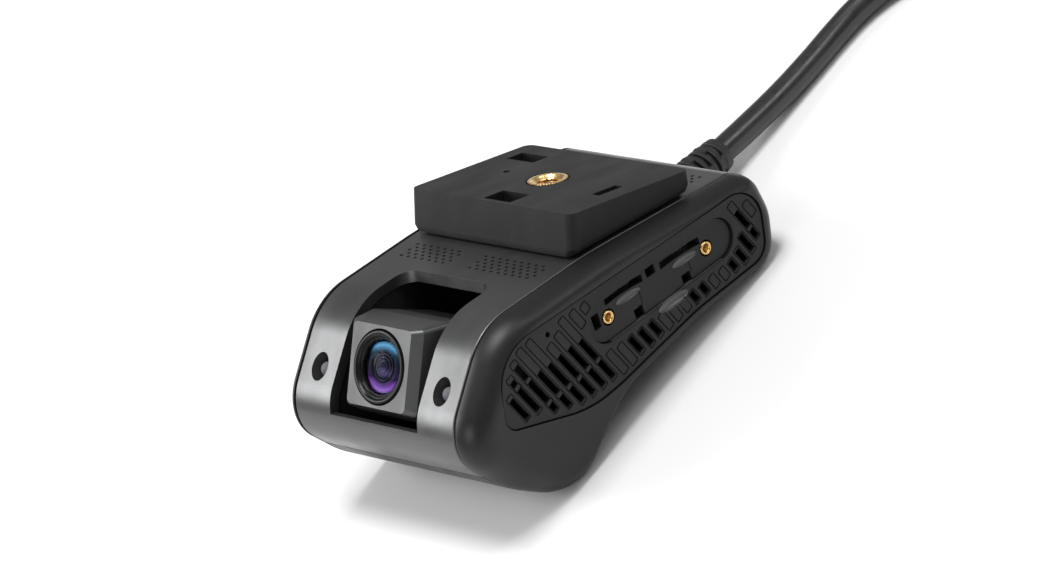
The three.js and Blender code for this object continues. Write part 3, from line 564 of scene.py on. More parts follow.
BULB = clear_glass("lamp_glass", (0.16, 0.155, 0.17), 0.0)
CABLE = drawn_cable("cable_jacket")

# ---- cable ----
CABLE_RADIUS = 3.0
CABLE_POINT = (-2.1, 44.28, 7.63)   # where it leaves the tail
LYING = 3.05                        # the height of its middle where it lies on the table
BEND_START = 103.8
COIL_CENTRE = (-6.0, 160.0)
OUTER, INNER = 33.15, 26.85         # the coil's two rings of turns
LOWER, UPPER = 4.05, 10.35          # and its two layers
BEND_RADIUS = 35.4
ARRIVAL = radians(-55)         # where the cable meets the coil, as an angle round it


def stepped(value, stages):
    """Follows (start, end, from, to) stages, easing in and out of each."""
    result = stages[0][2]
    for start, end, low, high in stages:
        t = max(0.0, min(1.0, (value - start) / (end - start)))
        if value >= start:
            result = low + (high - low) * t * t * (3 - 2 * t)
    return result


def cable_points():
    x, y, z = CABLE_POINT
    points = [(x, y, z), (x, 52.5, 6.7), (x, 61.17, 5.72), (x, 71, 4.55), (x, 82, 3.5),
              (x, 93, LYING), (x, BEND_START, LYING)]
    bends = 5
    for k in range(1, bends):
        turn = -ARRIVAL * k / bends
        points.append((x + BEND_RADIUS * (1 - cos(turn)),
                       BEND_START + BEND_RADIUS * sin(turn),
                       LYING + (LOWER - LYING) * k / bends))
    last, step = 1145, 18
    turns = [k * step for k in range(last // step + 1)] + [last]
    for degrees in turns:
        radius = stepped(degrees, [(290, 360, OUTER, INNER), (830, 920, INNER, OUTER)])
        height = stepped(degrees, [(560, 650, LOWER, UPPER)])
        angle = ARRIVAL + radians(degrees)
        points.append((COIL_CENTRE[0] + radius * cos(angle),
                       COIL_CENTRE[1] + radius * sin(angle), height))
    points += [(24.9, 175.2, 10.2), (23.3, 184.5, 8.6), (21.7, 194, 6.1), (20.6, 203, 4.7),
               (20.2, 212.5, 4.5)]
    return points


def cable_curve():
    curve = bpy.data.curves.new("cable", "CURVE")
    curve.dimensions = "3D"
    curve.bevel_depth = CABLE_RADIUS * MM
    curve.bevel_resolution = 8
    curve.resolution_u = 6
    curve.use_fill_caps = True
    spline = curve.splines.new("BEZIER")
    points = cable_points()
    spline.bezier_points.add(len(points) - 1)
    for point, place in zip(spline.bezier_points, points):
        point.co = Vector(place) * MM
        point.handle_left_type = point.handle_right_type = "AUTO"
    curve.materials.append(CABLE)
    piece = linked("cable", curve)
    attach(piece, "camera_body")
    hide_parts("cable_run", "cable_coil", "cable_tail")
    return piece


cable = cable_curve()

# The strap follows the bundle's cross-section on (x, z), with its ratchet head inside the coil.
STRAP_X = (-42.4, -29.6)
STRAP_Z = (0.45, 14.0)
STRAP_WIDTH, STRAP_WALL, STRAP_EDGE = 4.0, 0.8, 0.2


def strap_ring(grow, inward, side):
    """The strap's loop, grown by grow, on its side -1 or 1 and moved inward from that edge."""
    y = COIL_CENTRE[1] + side * (STRAP_WIDTH / 2 - inward)
    outline = block((sum(STRAP_X) / 2, sum(STRAP_Z) / 2), STRAP_X[1] - STRAP_X[0] + 2 * grow,
                    STRAP_Z[1] - STRAP_Z[0] + 2 * grow, 0, corner=3, steps=8)
    return [(x, y, z) for x, z in outline]


strap_levels = [(0, STRAP_EDGE), (STRAP_EDGE, 0), (STRAP_WALL / 2, 0)]
strap = skin([strap_ring(*level, -1) for level in strap_levels]
             + [strap_ring(*level, 1) for level in reversed(strap_levels)], closed=True)
ratchet = softened(box((-29.5, -26.3), (157, 163), (5, 10)), 0.5)
teeth = [box((-29.2 + 0.45 * k, -29.0 + 0.45 * k), (158.5, 161.5), (9.9, 10.15)) for k in range(5)]
strap_piece = add("cable_tie", joined(strap, ratchet, *teeth), STRAP, TABLE,
                  replaces=["cable_strap"])

# ---- casing ----
GAP = 0.3
BAND_HALF = 25.0
CHEEK_DEPTH = 6.7
LEFT_DEPTH = 1.6
BAND_WALL = 2.4
CHEEK_WALL = 1.8
FACE_WALL = 3.2
SIDE_X = BAND_HALF + CHEEK_DEPTH
SIDE_OUTLINE = [
    (-14.5, -9.1, 150), (30.5, -3.5, 5), (34.6, -13, 12), (34.4, -23.3, 7), (8.5, -29.95, 60),
    (-12.1, -37.9, 22), (-29.5, -56.2, 11), (-44.5, -49.9, 30), (-55.5, -41, 9.5),
    (-55.5, -33.2, 11.5), (-44.6, -15.5, 17),
]
CHEEK_INSETS = [3, 3.8, 4.2, 2.3, 1.9, 2.6, 4.8, 5.7, 6.2, 6, 3.6]
SPLIT = ((-50.5, -46.6), CABLE_EXIT)
SEAM = BAND_HALF + GAP / 2          # where a side cover starts


def side_outline(drawn=0.0):
    return rounded(inset(SIDE_OUTLINE, drawn) if drawn else SIDE_OUTLINE)


def rim(outline, x0, x1, edge=0.35):
    """Levels of a prism whose two end edges are rounded."""
    turns = [pi / 2 * k / 4 for k in range(5)]
    ends = [(end + side * edge * (1 - sin(t)), edge * (1 - cos(t)))
            for end, side in ((x0, 1), (x1, -1)) for t in turns]
    return [(x, rounded(inset(outline, drawn))) for x, drawn in sorted(set(ends))]


def beyond_split(side):
    (y0, z0), (y1, z1) = SPLIT
    slope = (z1 - z0) / (y1 - y0)
    low, high = y0 - 60, y1 + 60
    heights = [z0 + slope * (y - y0) - side * GAP / 2 for y in (low, high)]
    return prism([(low, heights[0]), (high, heights[1]), (high, side * 200), (low, side * 200)],
                 -60, 60)


wrap = carved(loft(rim(SIDE_OUTLINE, -BAND_HALF + GAP / 2, BAND_HALF - GAP / 2)),
              prism(side_outline(BAND_WALL), -BAND_HALF - 1, BAND_HALF + 1))
along_gland = Matrix.Translation((0, *CABLE_EXIT)) @ about_x(CABLE_ANGLE)

GLAND_BORE, GLAND_SEAT, SEAT_END = 5.3, 6.7, -4.3


def gland_hole():
    """The bore for the gland, and the wider seat inside it."""
    return [moved(lathe([(radius, -12), (radius, end)], 48, closed=False), along_gland)
            for radius, end in ((GLAND_BORE, 8), (GLAND_SEAT, SEAT_END))]


POCKET_HALF, POCKET_FOOT, POCKET_HEAD, POCKET_CORNER = 13.7, -36.2, -29.8, 4.0
SWEEP = hypot(16, 8.5) + GAP


def pocket_cutters():
    head = [(POCKET_HALF, -80), (-POCKET_HALF, -80)]
    for side, start in ((-1, pi), (1, pi / 2)):
        head += arc((side * (POCKET_HALF - POCKET_CORNER), POCKET_HEAD - POCKET_CORNER),
                    POCKET_CORNER, start, -pi / 2, 12)
    above = skin([[(x, y, z) for x, y in head] for z in (TILT_AXIS[1], 10)])
    front = box((-POCKET_HALF, POCKET_HALF), (-80, TILT_AXIS[0]), (POCKET_FOOT, 0))
    swept = arc(TILT_AXIS, SWEEP, pi, pi / 2, 24) + [TILT_AXIS]
    return [front, above, prism(swept, -POCKET_HALF, POCKET_HALF)]


LAMP_X, LAMP_Z = 19.1, -27.6
LAMP_HOLE = (2.4, 3.1)
(low_y, low_z), (high_y, high_z) = SIDE_OUTLINE[9][:2], SIDE_OUTLINE[10][:2]
front_lean = atan2(low_z - high_z, high_y - low_y)
lamp_y = low_y + (LAMP_Z - low_z) / (high_z - low_z) * (high_y - low_y)


def lamp_frame(side):
    """+Y runs into the casing from the front face, at a lamp's place."""
    return Matrix.Translation((side * LAMP_X, lamp_y, LAMP_Z)) @ about_x(-front_lean - pi / 2)


def lamp_hole(side):
    tool = lathe([(1, -6), (1, 6)], 48, closed=False)
    tool.transform(Matrix.Diagonal((LAMP_HOLE[0], 1, LAMP_HOLE[1], 1)))
    return moved(tool, lamp_frame(side))


def above_band(y, lift=0.0):
    ridge, tail, crown = SIDE_OUTLINE[0], SIDE_OUTLINE[1], SIDE_OUTLINE[-1]
    start, end = (ridge, tail) if y > ridge[0] else (crown, ridge)
    slope = (end[1] - start[1]) / (end[0] - start[0])
    return start[1] + slope * (y - start[0]) + lift


HOLE_RADIUS, HOLE_PITCH, ROW_PITCH = 0.42, 2.2, 1.2
HOLE_FIELDS = [(-20, 7, -25.6, 5), (1.6, 9, -25.6, 5), (8, 6, 20.6, 4)]   # x, holes, y, rows


def perforations():
    """Staggered rows of fine holes: two fields ahead of the mount block, and one behind it."""
    tools = []
    for first, count, front, rows in HOLE_FIELDS:
        for row in range(rows):
            for k in range(count):
                x = first + HOLE_PITCH * (k + row % 2 / 2)
                y = front + ROW_PITCH * row
                z = above_band(y)
                tools.append(drum(HOLE_RADIUS, z - 0.9, z + 1.2, x, y, 10))
    return joined(*tools)


def in_band_openings(point):
    """Whether a place is on the rim of the pocket, a lamp hole or the gland's hole, or the seam."""
    near_pocket = abs(point.x) < POCKET_HALF + 0.5 and point.y < POCKET_HEAD + 0.5
    near_lamp = abs(abs(point.x) - LAMP_X) < LAMP_HOLE[0] + 0.2 and point.y < -40
    off_ends = abs(point.x) < BAND_HALF - 0.7
    return off_ends and (near_pocket or near_lamp or point.y > 30)


band = carved(wrap.copy(), beyond_split(-1), *pocket_cutters(), lamp_hole(-1), lamp_hole(1),
              *gland_hole(), perforations())
add("band", softened(band, 0.32, in_band_openings, segments=3), GUNMETAL,
    replaces=["top_band"])

CASE_SCREWS = [(x, y) for y in (-36, 20) for x in (-18, 18)]
SCREW_WELL = 2.5                    # the radius of the well round a case screw


def underside(y):
    points = side_outline()
    return min(z0 + (y - y0) / (y1 - y0) * (z1 - z0)
               for (y0, z0), (y1, z1) in zip(points, points[1:] + points[:1])
               if (y0 - y) * (y1 - y) <= 0 and y0 != y1)


shell = carved(wrap.copy(), beyond_split(1), *gland_hole(),
               *[drum(SCREW_WELL, underside(y) - 5, underside(y) + 6, x, y)
                 for x, y in CASE_SCREWS])
add("lower_shell", softened(shell, 0.25, lambda p: abs(p.x) < BAND_HALF - 0.7), BLACK,
    replaces=["bottom_shell"])


def dome(outline, insets, x0, depth, steps):
    """Levels of a face that bulges by depth from x0, each edge drawn in by its own inset."""
    levels = []
    for k in range(steps + 1):
        turn = pi / 2 * k / steps
        drawn = [value * (1 - cos(turn)) for value in insets]
        levels.append((x0 + depth * sin(turn), rounded(inset(outline, drawn))))
    return levels


PANEL_OUTLINE = [
    (-47.3, -36.3, 3.5), (-46.8, -19.6, 12), (29.8, -4.8, 7), (30, -21.6, 5), (8.5, -27.2, 60),
    (-15, -36, 40), (-24, -38.6, 30),
]
PANEL_OUTER = SIDE_X - 0.3
PANEL_INNER = PANEL_OUTER - 1.4
START = 0.3                         # of a cover's side wall, before its dome
outer_cheek = loft([(SEAM, side_outline(START)), (SEAM + 0.1, side_outline(0.1))]
                   + dome(SIDE_OUTLINE, CHEEK_INSETS, SEAM + START,
                          CHEEK_DEPTH - GAP / 2 - START, 22))
inner_cheek = loft([(BAND_HALF - 1, side_outline(CHEEK_WALL))]
                   + dome(inset(SIDE_OUTLINE, CHEEK_WALL), [v * 0.8 for v in CHEEK_INSETS],
                          BAND_HALF + GAP, CHEEK_DEPTH - FACE_WALL - GAP, 8))
cheek = carved(outer_cheek, inner_cheek,
               prism(rounded(PANEL_OUTLINE), PANEL_INNER - GAP, SIDE_X + 1),
               prism(rounded(inset(PANEL_OUTLINE, 1.2)), BAND_HALF, SIDE_X + 1))
add("cheek", softened(cheek, 0.18, lambda p: p.x > SIDE_X - 0.02, angle=60), BLACK,
    replaces=["right_cheek"])

cover = loft([(SEAM, side_outline(0.2)), (SEAM + 0.15, side_outline())]
             + dome(SIDE_OUTLINE, [LEFT_DEPTH] * 11, SEAM + START, LEFT_DEPTH - GAP / 2 - START,
                    12))
tray = loft([(BAND_HALF - 1, side_outline(BAND_WALL)),
             (BAND_HALF + LEFT_DEPTH - 1.5, side_outline(BAND_WALL + 0.8))])
SPEAKER = (4, -17.5)


speaker_holes = [rod_x(0.7, BAND_HALF, BAND_HALF + LEFT_DEPTH + 1, y, z) for ring in range(3)
                 for y, z in circle(2.6 * ring, max(1, 6 * ring), SPEAKER)]
cover = carved(cover, tray, joined(*speaker_holes))
cover = softened(cover, 0.15, lambda p: p.x > BAND_HALF + LEFT_DEPTH - 0.05, angle=50)
cover.transform(Matrix.Scale(-1, 4, (1, 0, 0)))
cover.flip_normals()
add("left_side", cover, BLACK, replaces=["left_cover"])

# ---- side panel ----
SLOT_ANGLE = radians(-53)
SLOT_PITCH, SLOT_WIDTH, FIRST_SLOT = 2.86, 1.8, -33.7
WINDOWS = [
    (0, 4.3, 10.7), (0, 11.5, 17.1), (1, 2.8, 9.7), (1, 10.5, 16), (2, 1.7, 8.9), (2, 9.8, 14.8),
    (3, 0.6, 7.8), (3, 8.7, 13.4), (4, -0.6, 6.7), (4, 7.6, 11.6), (5, -6.5, -2.2),
    (5, -1.4, 5.6), (5, 6.4, 9.2), (6, -5.3, -3.6), (6, -2.7, 4.7), (7, -2.9, 3.7),
    (-3, 14.6, 19.9), (-4, 15.8, 21.3), (-5, 17.3, 21.9), (-9, 22.6, 26.2), (-10, 23.9, 27.7),
    (-13, 27.4, 30.3), (-14, 27.5, 31.3), (-15, 25.8, 31.3), (-16, 21.8, 27), (-16, 27.8, 31),
]
BAY_CENTRE, BAY_ANGLE, BAY_LENGTH, BAY_WIDTH = (0, -18.2), radians(13), 43.3, 9.2
PINHOLE = (-32.7, -19.8)
STRIP_WIDTH, GROOVE, MARGIN = 2.2, 0.26, 0.85


def on_slot(slot, along, across=0.0):
    away = FIRST_SLOT - slot * SLOT_PITCH + across
    c, s = cos(SLOT_ANGLE), sin(SLOT_ANGLE)
    return (c * along - s * away, s * along + c * away)


def slot_block(slot, start, end, width, corner):
    return block(on_slot(slot, (start + end) / 2), end - start, width, SLOT_ANGLE, corner)


def within(point, outline):
    y, z = point
    inside = False
    for (y0, z0), (y1, z1) in zip(outline, outline[1:] + outline[:1]):
        if (z0 > z) != (z1 > z) and y < y0 + (z - z0) / (z1 - z0) * (y1 - y0):
            inside = not inside
    return inside


def bay_outline(grow):
    return stadium(BAY_CENTRE, BAY_LENGTH + grow, BAY_WIDTH + grow, BAY_ANGLE)


panel_edge = rounded(inset(PANEL_OUTLINE, MARGIN), 10)
bay_edge = bay_outline(2 * MARGIN)
pin_edge = stadium(PINHOLE, 3.2, 3.0, 0)


def free_runs(slot):
    """The stretches of a slot's strip that lie on the panel, clear of the bay and the pinhole."""
    runs, step = [], 0.1
    along = -30.0
    while along < 45:
        corners = [on_slot(slot, along, side * STRIP_WIDTH / 2) for side in (-1, 0, 1)]
        free = all(within(c, panel_edge) and not within(c, bay_edge) and not within(c, pin_edge)
                   for c in corners)
        if free and runs and runs[-1][1] > along - 1.5 * step:
            runs[-1][1] = along
        elif free:
            runs.append([along, along])
        along += step
    return [run for run in runs if run[1] - run[0] > 2.6]


engraved, window_cuts = [], []
for slot in range(-18, 8):
    mine = [(start, end) for number, start, end in WINDOWS if number == slot]
    for low, high in free_runs(slot):
        windows = [(max(start, low + 0.35), min(end, high - 0.35)) for start, end in mine
                   if start < high - 1 and end > low + 1]
        longest = 8.5 if windows or slot > -1 else 7.5
        if windows:
            low = max(low, min(w[0] for w in windows) - longest)
            high = min(high, max(w[1] for w in windows) + 0.6)
        elif slot > -1:
            continue
        engraved.append((slot, low, high))
        window_cuts += [slot_block(slot, start, end, SLOT_WIDTH, 0.2) for start, end in windows
                        if end - start > 0.6]

SKIN_DEPTH = 0.3                    # of the engraving
bay_hole = bay_outline(0)
pin_hole = stadium(PINHOLE, 1.21, 1.2, 0)
panel_rim = rounded(inset(PANEL_OUTLINE, GAP))
rings = []
for slot, low, high in engraved:
    rings.append(slot_block(slot, low, high, STRIP_WIDTH, 0.5))
    rings.append(slot_block(slot, low + GROOVE, high - GROOVE, STRIP_WIDTH - 2 * GROOVE, 0.3))
top_skin = plate([panel_rim, bay_hole, pin_hole, *rings, *window_cuts], PANEL_OUTER - SKIN_DEPTH,
                 PANEL_OUTER, edge=0.05)
base = plate([panel_rim, bay_hole, pin_hole, *window_cuts], PANEL_INNER,
             PANEL_OUTER - SKIN_DEPTH, edge=0.03)

# ---- card bay ----
BAY_TOP = PANEL_OUTER - 0.7
BAY_BACK = PANEL_INNER - GAP - 1.2
BOARD_ANGLE = radians(10.2)
CARD_SLOTS = [(-10.4, -16.8, 11.2), (6.2, -13.9, 11.9)]
SLOT_HEIGHT, SLOT_DROP = 1.6, 0.4   # a card slot stands lower than its socket's middle
BAY_INSERTS = {"bay_insert_front": (-15.4, -21.5), "bay_insert_rear": (13.7, -15.4)}
LATCH_HOLES = [(-18.8, -21.5, 2.1, 3.3), (-2.5, -15.3, 2.7, 2.4), (-6.8, -23.2, 2.6, 2.5),
               (7.4, -20.1, 2.6, 2.5)]
SCOOPS = [(-9.3, -18.9, 7.2, 1.9, BOARD_ANGLE), (7.3, -16.0, 7.2, 1.9, BOARD_ANGLE)]
NOTCH = (2.2, -23.4, 9.0, 2.6, BAY_ANGLE)
RECESSES = [(-6.6, -20.2), (7.9, -17.6)]


def arched_slot(centre, length, height, rise, angle):
    upper = [(length * (k / 12 - 0.5), height / 2 + rise * (1 - (k / 6 - 1) ** 2))
             for k in range(13)]
    lower = [(a, b - height) for a, b in upper]
    return turned_about(centre, angle, lower + upper[::-1])


def scoop(place, x, depth):
    """An ellipsoid that leaves a finger-nail hollow in a face at x."""
    y, z, length, width, angle = place
    ball = bmesh.new()
    bmesh.ops.create_uvsphere(ball, u_segments=32, v_segments=20, radius=1)
    return moved(mesh_from(ball), Matrix.Translation((x + 0.15, y, z)) @ about_x(angle)
                 @ Matrix.Diagonal((depth, length / 2, width / 2, 1)))


layers = [carved(layer, scoop(NOTCH, PANEL_OUTER, 1.2), solver="EXACT")
          for layer in (top_skin, base)]
panel_piece = add("vent_panel", joined(*layers), PANEL, replaces=["side_panel"])

bay = carved(prism(bay_outline(2.2), BAY_BACK, PANEL_INNER - GAP),
             prism(bay_outline(-0.6), BAY_BACK + 0.2, BAY_TOP), operation="UNION")
through = (BAY_BACK - 1, BAY_TOP + 1)
bay = carved(
    bay,
    *[prism(arched_slot((y, z - SLOT_DROP), length, SLOT_HEIGHT, 0.3, BOARD_ANGLE), *through)
      for y, z, length in CARD_SLOTS],
    *[prism(block((y, z), length, height, BAY_ANGLE), *through)
      for y, z, length, height in LATCH_HOLES],
    *[rod_x(1.8, *through, y, z, 32) for y, z in BAY_INSERTS.values()],
    *[scoop(place, BAY_TOP, 0.8) for place in SCOOPS],
    *[prism(block((y, z), 1.6, 3.2, BAY_ANGLE), BAY_TOP - 0.12, BAY_TOP + 1)
      for y, z in RECESSES])


def paint_hollow_highlights(piece, places, x):
    """Gives the hollows in a face at x a lighter material, a painted highlight that stands in for
    the light they catch.
    """
    piece.data.materials.append(HOLLOW_HIGHLIGHT)
    back = (BODY @ Matrix.Scale(MM, 4)).inverted()
    for face in piece.data.polygons:
        spot = back @ face.center
        for y, z, length, width, angle in places:
            c, s = cos(angle), sin(angle)
            a, b = c * (spot.y - y) + s * (spot.z - z), c * (spot.z - z) - s * (spot.y - y)
            if (2 * a / length) ** 2 + (2 * b / width) ** 2 < 1 and x - 1.1 < spot.x < x - 0.01:
                face.material_index = 1


tray_piece = add("card_tray", softened(bay, 0.1, lambda p: p.x > BAY_TOP - 0.1, angle=60), PANEL,
                 replaces=["card_bay"])
# painted highlights in the finger scoops and in the panel's notch
paint_hollow_highlights(tray_piece, SCOOPS, BAY_TOP)
paint_hollow_highlights(panel_piece, [NOTCH], PANEL_OUTER)
for name, (y, z) in BAY_INSERTS.items():
    collar = lathe([(0.8, -3), (1.5, -3), (1.5, -0.3), (1.42, -0.12), (1.3, 0), (1.12, 0),
                    (1.0, -0.1), (0.86, -0.35), (0.8, -0.6), (0.92, -0.8), (0.8, -1.0),
                    (0.92, -1.2), (0.8, -1.4), (0.92, -1.6), (0.8, -1.8)], 40)
    collar.transform(Matrix.Translation((BAY_TOP + 0.2, y, z))
                     @ Matrix.Rotation(-pi / 2, 4, "Z"))
    add(f"{name}_turned", collar, BRASS, replaces=[name])

# ---- lamps ----
for side, word in ((-1, "left"), (1, "right")):
    funnel = lathe([(2.32, 0.25), (2.1, 0.9), (1.75, 2.0), (1.55, 2.5), (1.75, 2.55), (2.0, 2.1),
                    (2.36, 0.8)], 48)
    funnel.transform(lamp_frame(side) @ Matrix.Diagonal((1, 1, LAMP_HOLE[1] / LAMP_HOLE[0], 1)))
    add(f"lamp_cone_{word}", funnel, CONE)
    bulb = lathe([(0.01, 0.35), (0.55, 0.42), (1.05, 0.68), (1.4, 1.05), (1.6, 1.6), (1.65, 2.2),
                  (1.65, 3.6), (0.01, 3.6)], 40, closed=False)
    bulb.transform(lamp_frame(side) @ Matrix.Translation((0, 0.55, 0)))
    add(f"lamp_bulb_{word}", bulb, BULB, replaces=[f"ir_lamp_{word}"])

# ---- camera module ----
FACE_Y = -16.0


def section(half_x, half_z, y):
    return [(x, y, z) for x, z in block((0, 0), 2 * half_x, 2 * half_z, 0, 1.2, 5)]


def body_of_module(wall=0.0):
    """The module's shell as a solid or, with the thickness of its wall, its hollow."""
    front, rear = (FACE_Y + 2.6, -1) if wall else (FACE_Y, -2.15)
    levels = [(9 - wall, 8.5 - wall, front), (12.3 - wall, 10.7 - wall, -9),
              (12.3 - wall, 10.7 - wall, rear)]
    if not wall:
        levels.insert(1, (11, 9.1, FACE_Y + 1.7))
    return skin([section(*level) for level in levels])


def on_module(name, mesh, finish, slot, *replaces, smooth=40):
    add(name, mesh, finish, MODULE, "lens_module", replaces, smooth)


module = carved(body_of_module(), body_of_module(1.5),
                lathe([(7.9, FACE_Y - 1), (7.9, FACE_Y + 4)], 96, closed=False),
                rod_x(2.3, -20, 20, 0, 0))
module = softened(module, 0.3, angle=12)
on_module("module_shell", module, MODULE_PAINT, "module_paint", "module_front", smooth=30)
for k in range(3):
    sections = []
    for i in range(15):
        turn = radians(-20 + 115 * i / 14)
        centre = Vector((11.1 + 1.2 * sin(turn), -8.2 + 1.05 * k - 0.5 * cos(turn),
                         9.55 + 1.2 * cos(turn)))
        out = Vector((sin(turn), 0, cos(turn)))
        sections.append([centre + out * a + Vector((0, b, 0)) for a, b in circle(0.17, 8)])
    on_module(f"module_grip_{k + 1}", skin(sections), WELL, "black_plastic")

RING_Y = FACE_Y - 0.3


def behind_ring(profile):
    """A profile whose y are measured from the front of the lens ring."""
    return [(radius, RING_Y + y) for radius, y in profile]


ring = lathe(behind_ring([
    (7.6, 0.35), (7.52, 0.12), (7.3, 0), (6.95, 0), (6.82, 0.08), (6.7, 0.3), (6.45, 0.45),
    (6.3, 0.48), (6.22, 0.72), (5.95, 0.95), (5.82, 0.97), (5.72, 1.3), (5.6, 1.62), (5.6, 3.4),
    (7.6, 3.4)]), 128)
on_module("lens_bezel", ring, GLOSS, "gloss_black", "lens_ring")


def lens_cap(radius, crown, depth, thick, rise=0.0):
    """A domed disc about Y whose front stands crown ahead of its rim, at depth in the ring."""
    y = RING_Y + depth
    front = [(max(0.01, radius * k / 14), y - crown * (1 - (k / 14) ** 2)) for k in range(15)]
    back = [(radius, y + thick), (0.01, y + thick - rise)]
    return lathe(front + back, 96, closed=False)


on_module("glass_front", lens_cap(5.3, 1.3, 1.35, 0.45, 1.1), GLASS, "lens_glass", "front_glass")
# painted reflections: a purple crescent at the bottom of the dish and a teal arc at its top, round
# a dark middle
DISH_REFLECTIONS = painted_reflections("dish_painted_reflections", 5.3, [(-5.2, (0.85, 0.55, 0.95)), (-4.4, (0.55, 0.22, 0.72)),
                                    (-2.8, (0.30, 0.07, 0.45)), (-1.9, DEEP), (2.7, DEEP),
                                    (3.6, (0.05, 0.22, 0.28)), (4.6, (0.22, 0.65, 0.85)),
                                    (5.2, (0.12, 0.42, 0.55))], ring=(3.0, 4.4))
dish = lathe(behind_ring([(5.28, 1.84), (4.7, 1.66), (4.0, 1.56), (3.3, 1.6), (2.9, 1.75),
                          (2.9, 3.2), (5.28, 3.2)]), 96)
on_module("painted_reflection_dish", dish, DISH_REFLECTIONS, "lens_glass")
for name, radius, depth in (("outer", 2.75, 1.72), ("middle", 2.05, 1.6), ("inner", 1.3, 1.42)):
    torus = lathe(circle(0.13, 8, (radius, RING_Y + depth)), 72)
    on_module(f"element_rim_{name}", torus, RIM, "gloss_black")
# painted glint: a light purple band just below the middle of the inner element
PUPIL_GLINT = painted_reflections("pupil_painted_glint", 2.7, [(-2.6, (0.02, 0.01, 0.03)), (-1.5, (0.05, 0.03, 0.08)),
                                      (-0.9, (0.42, 0.32, 0.55)), (-0.1, (0.12, 0.09, 0.18)),
                                      (0.6, (0.01, 0.008, 0.02)), (2.2, (0.006, 0.01, 0.02))])
on_module("inner_element", lens_cap(2.7, 0.75, 2.05, 0.35), PUPIL_GLINT, "lens_glass", "inner_lens")

# ---- mount block ----
BLOCK_HALF, BLOCK_FRONT, BLOCK_REAR, BLOCK_DRAFT = 25.0, -16.7, 17.4, 1.3
BLOCK_FOOT = 0.85                   # its underside above the band
HOOK_HOLES = [(0.9, -12.5, 8.2, 5.6), (-17, 9.9, 8.3, 4.5), (19.1, -0.8, 2.3, 6.8)]


def block_ring(lift, drawn, draft, corner=2.0):
    """The block's outline, lifted above the band by lift, or flat at the top where lift is None."""
    low, high = BLOCK_FRONT - BLOCK_DRAFT * draft + drawn, BLOCK_REAR - drawn
    half = BLOCK_HALF - drawn
    outline = []
    for quarter, (a, b) in enumerate(((half, high), (-half, high), (-half, low), (half, low))):
        outline += arc((a - copysign(corner, a), b - copysign(corner, b - 0.1)), corner,
                       pi / 2 * quarter, pi / 2, 8)
        if quarter in (1, 3):
            ridge = SIDE_OUTLINE[0][0]
            stops = [high - corner - (high - low - 2 * corner) * i / 5 for i in range(1, 5)]
            stops = sorted({*stops, ridge}, reverse=quarter == 1)
            outline += [(copysign(half, a), y) for y in stops
                        if low + corner < y < high - corner]
    return [(x, y, 0.0 if lift is None else above_band(y, lift)) for x, y in outline]


mount = skin([block_ring(BLOCK_FOOT, 0.45, 1.0), block_ring(BLOCK_FOOT + 1.3, 0.0, 0.86),
              block_ring(None, 0.0, 0.0)])
mount = carved(mount,
               *[box((x - w / 2, x + w / 2), (y - d / 2, y + d / 2), (-5, 1))
                 for x, y, w, d in HOOK_HOLES],
               drum(4.7, -5, 1), drum(0.75, -0.7, 1, -13.5, 0.6, 24))
add("mount_wedge", softened(mount, 0.35, angle=25), BLOCK,
    replaces=["mount_block"])
foot = skin([[(x * (BLOCK_HALF - 1) / BLOCK_HALF, y, above_band(y, lift))
              for x, y, _ in block_ring(None, 1.0, 0.8, 1.6)] for lift in (0.1, 0.8)])
add("mount_plinth", softened(foot, 0.12), BLOCK, replaces=["mount_base"])

KNURLS = 44


def knurl(radius, k):
    """Teeth round the insert's flange."""
    return 0.13 * (1 if k % 4 < 2 else -1) if radius > 4.2 else 0


thread = [(radius, start - 0.6 * k) for k in range(8) for radius, start in ((2.6, -0.75),
                                                                         (3.0, -1.05))]
insert = lathe([(4.27, 0.02), (4.1, 0.1), (3.5, 0.1), (3.38, 0.02), (3.25, -0.25), (2.85, -0.45),
                *thread, (2.6, -4.7), (4.27, -4.7)], KNURLS * 4, knurl)
insert.transform(about_x(pi / 2))
add("threaded_insert", insert, BRASS, replaces=["tripod_insert"], smooth=50)

# ---- cable gland ----
GLAND_LENGTH, RIBS = 17.0, 7
RIB_RADIUS, RIB_TAPER = 5.0, 1.1    # the first rib's, and how much smaller the last ones are
GROOVE_RADIUS, GROOVE_WIDTH = 3.5, 0.7
gland_profile = [(3.3, -6), (6.4, -6), (6.4, -4.6), (5.0, -4.6), (5.0, 1.4), (4.75, 1.8)]
rib_pitch = (GLAND_LENGTH - 3.0) / RIBS
for k in range(RIBS):
    outer = RIB_RADIUS - RIB_TAPER * k / RIBS
    start = 2.0 + rib_pitch * k
    gland_profile += [(GROOVE_RADIUS, start), (GROOVE_RADIUS, start + GROOVE_WIDTH),
                      (outer - 0.12, start + GROOVE_WIDTH + 0.08),
                      (outer, start + 0.92), (outer, start + 1.6), (outer - 0.12, start + 1.8)]
gland_profile += [(3.9, 16.0), (3.9, 16.7), (3.75, 17.0), (3.3, 17.0)]
gland = lathe(gland_profile, 72)
bridges = []
for k in range(RIBS):
    outer = RIB_RADIUS - 0.1 - RIB_TAPER * k / RIBS
    for half in (0, 1):
        turn = pi * (half + k % 2 / 2)
        bridge = box((3.4, outer), (1.8 + rib_pitch * k, 2.8 + rib_pitch * k), (-1.7, 1.7))
        bridges.append(moved(bridge, Matrix.Rotation(turn, 4, "Y")))
gland_piece = add("strain_relief", joined(gland, *bridges), RUBBER, GLAND,
                  replaces=["cable_gland"])

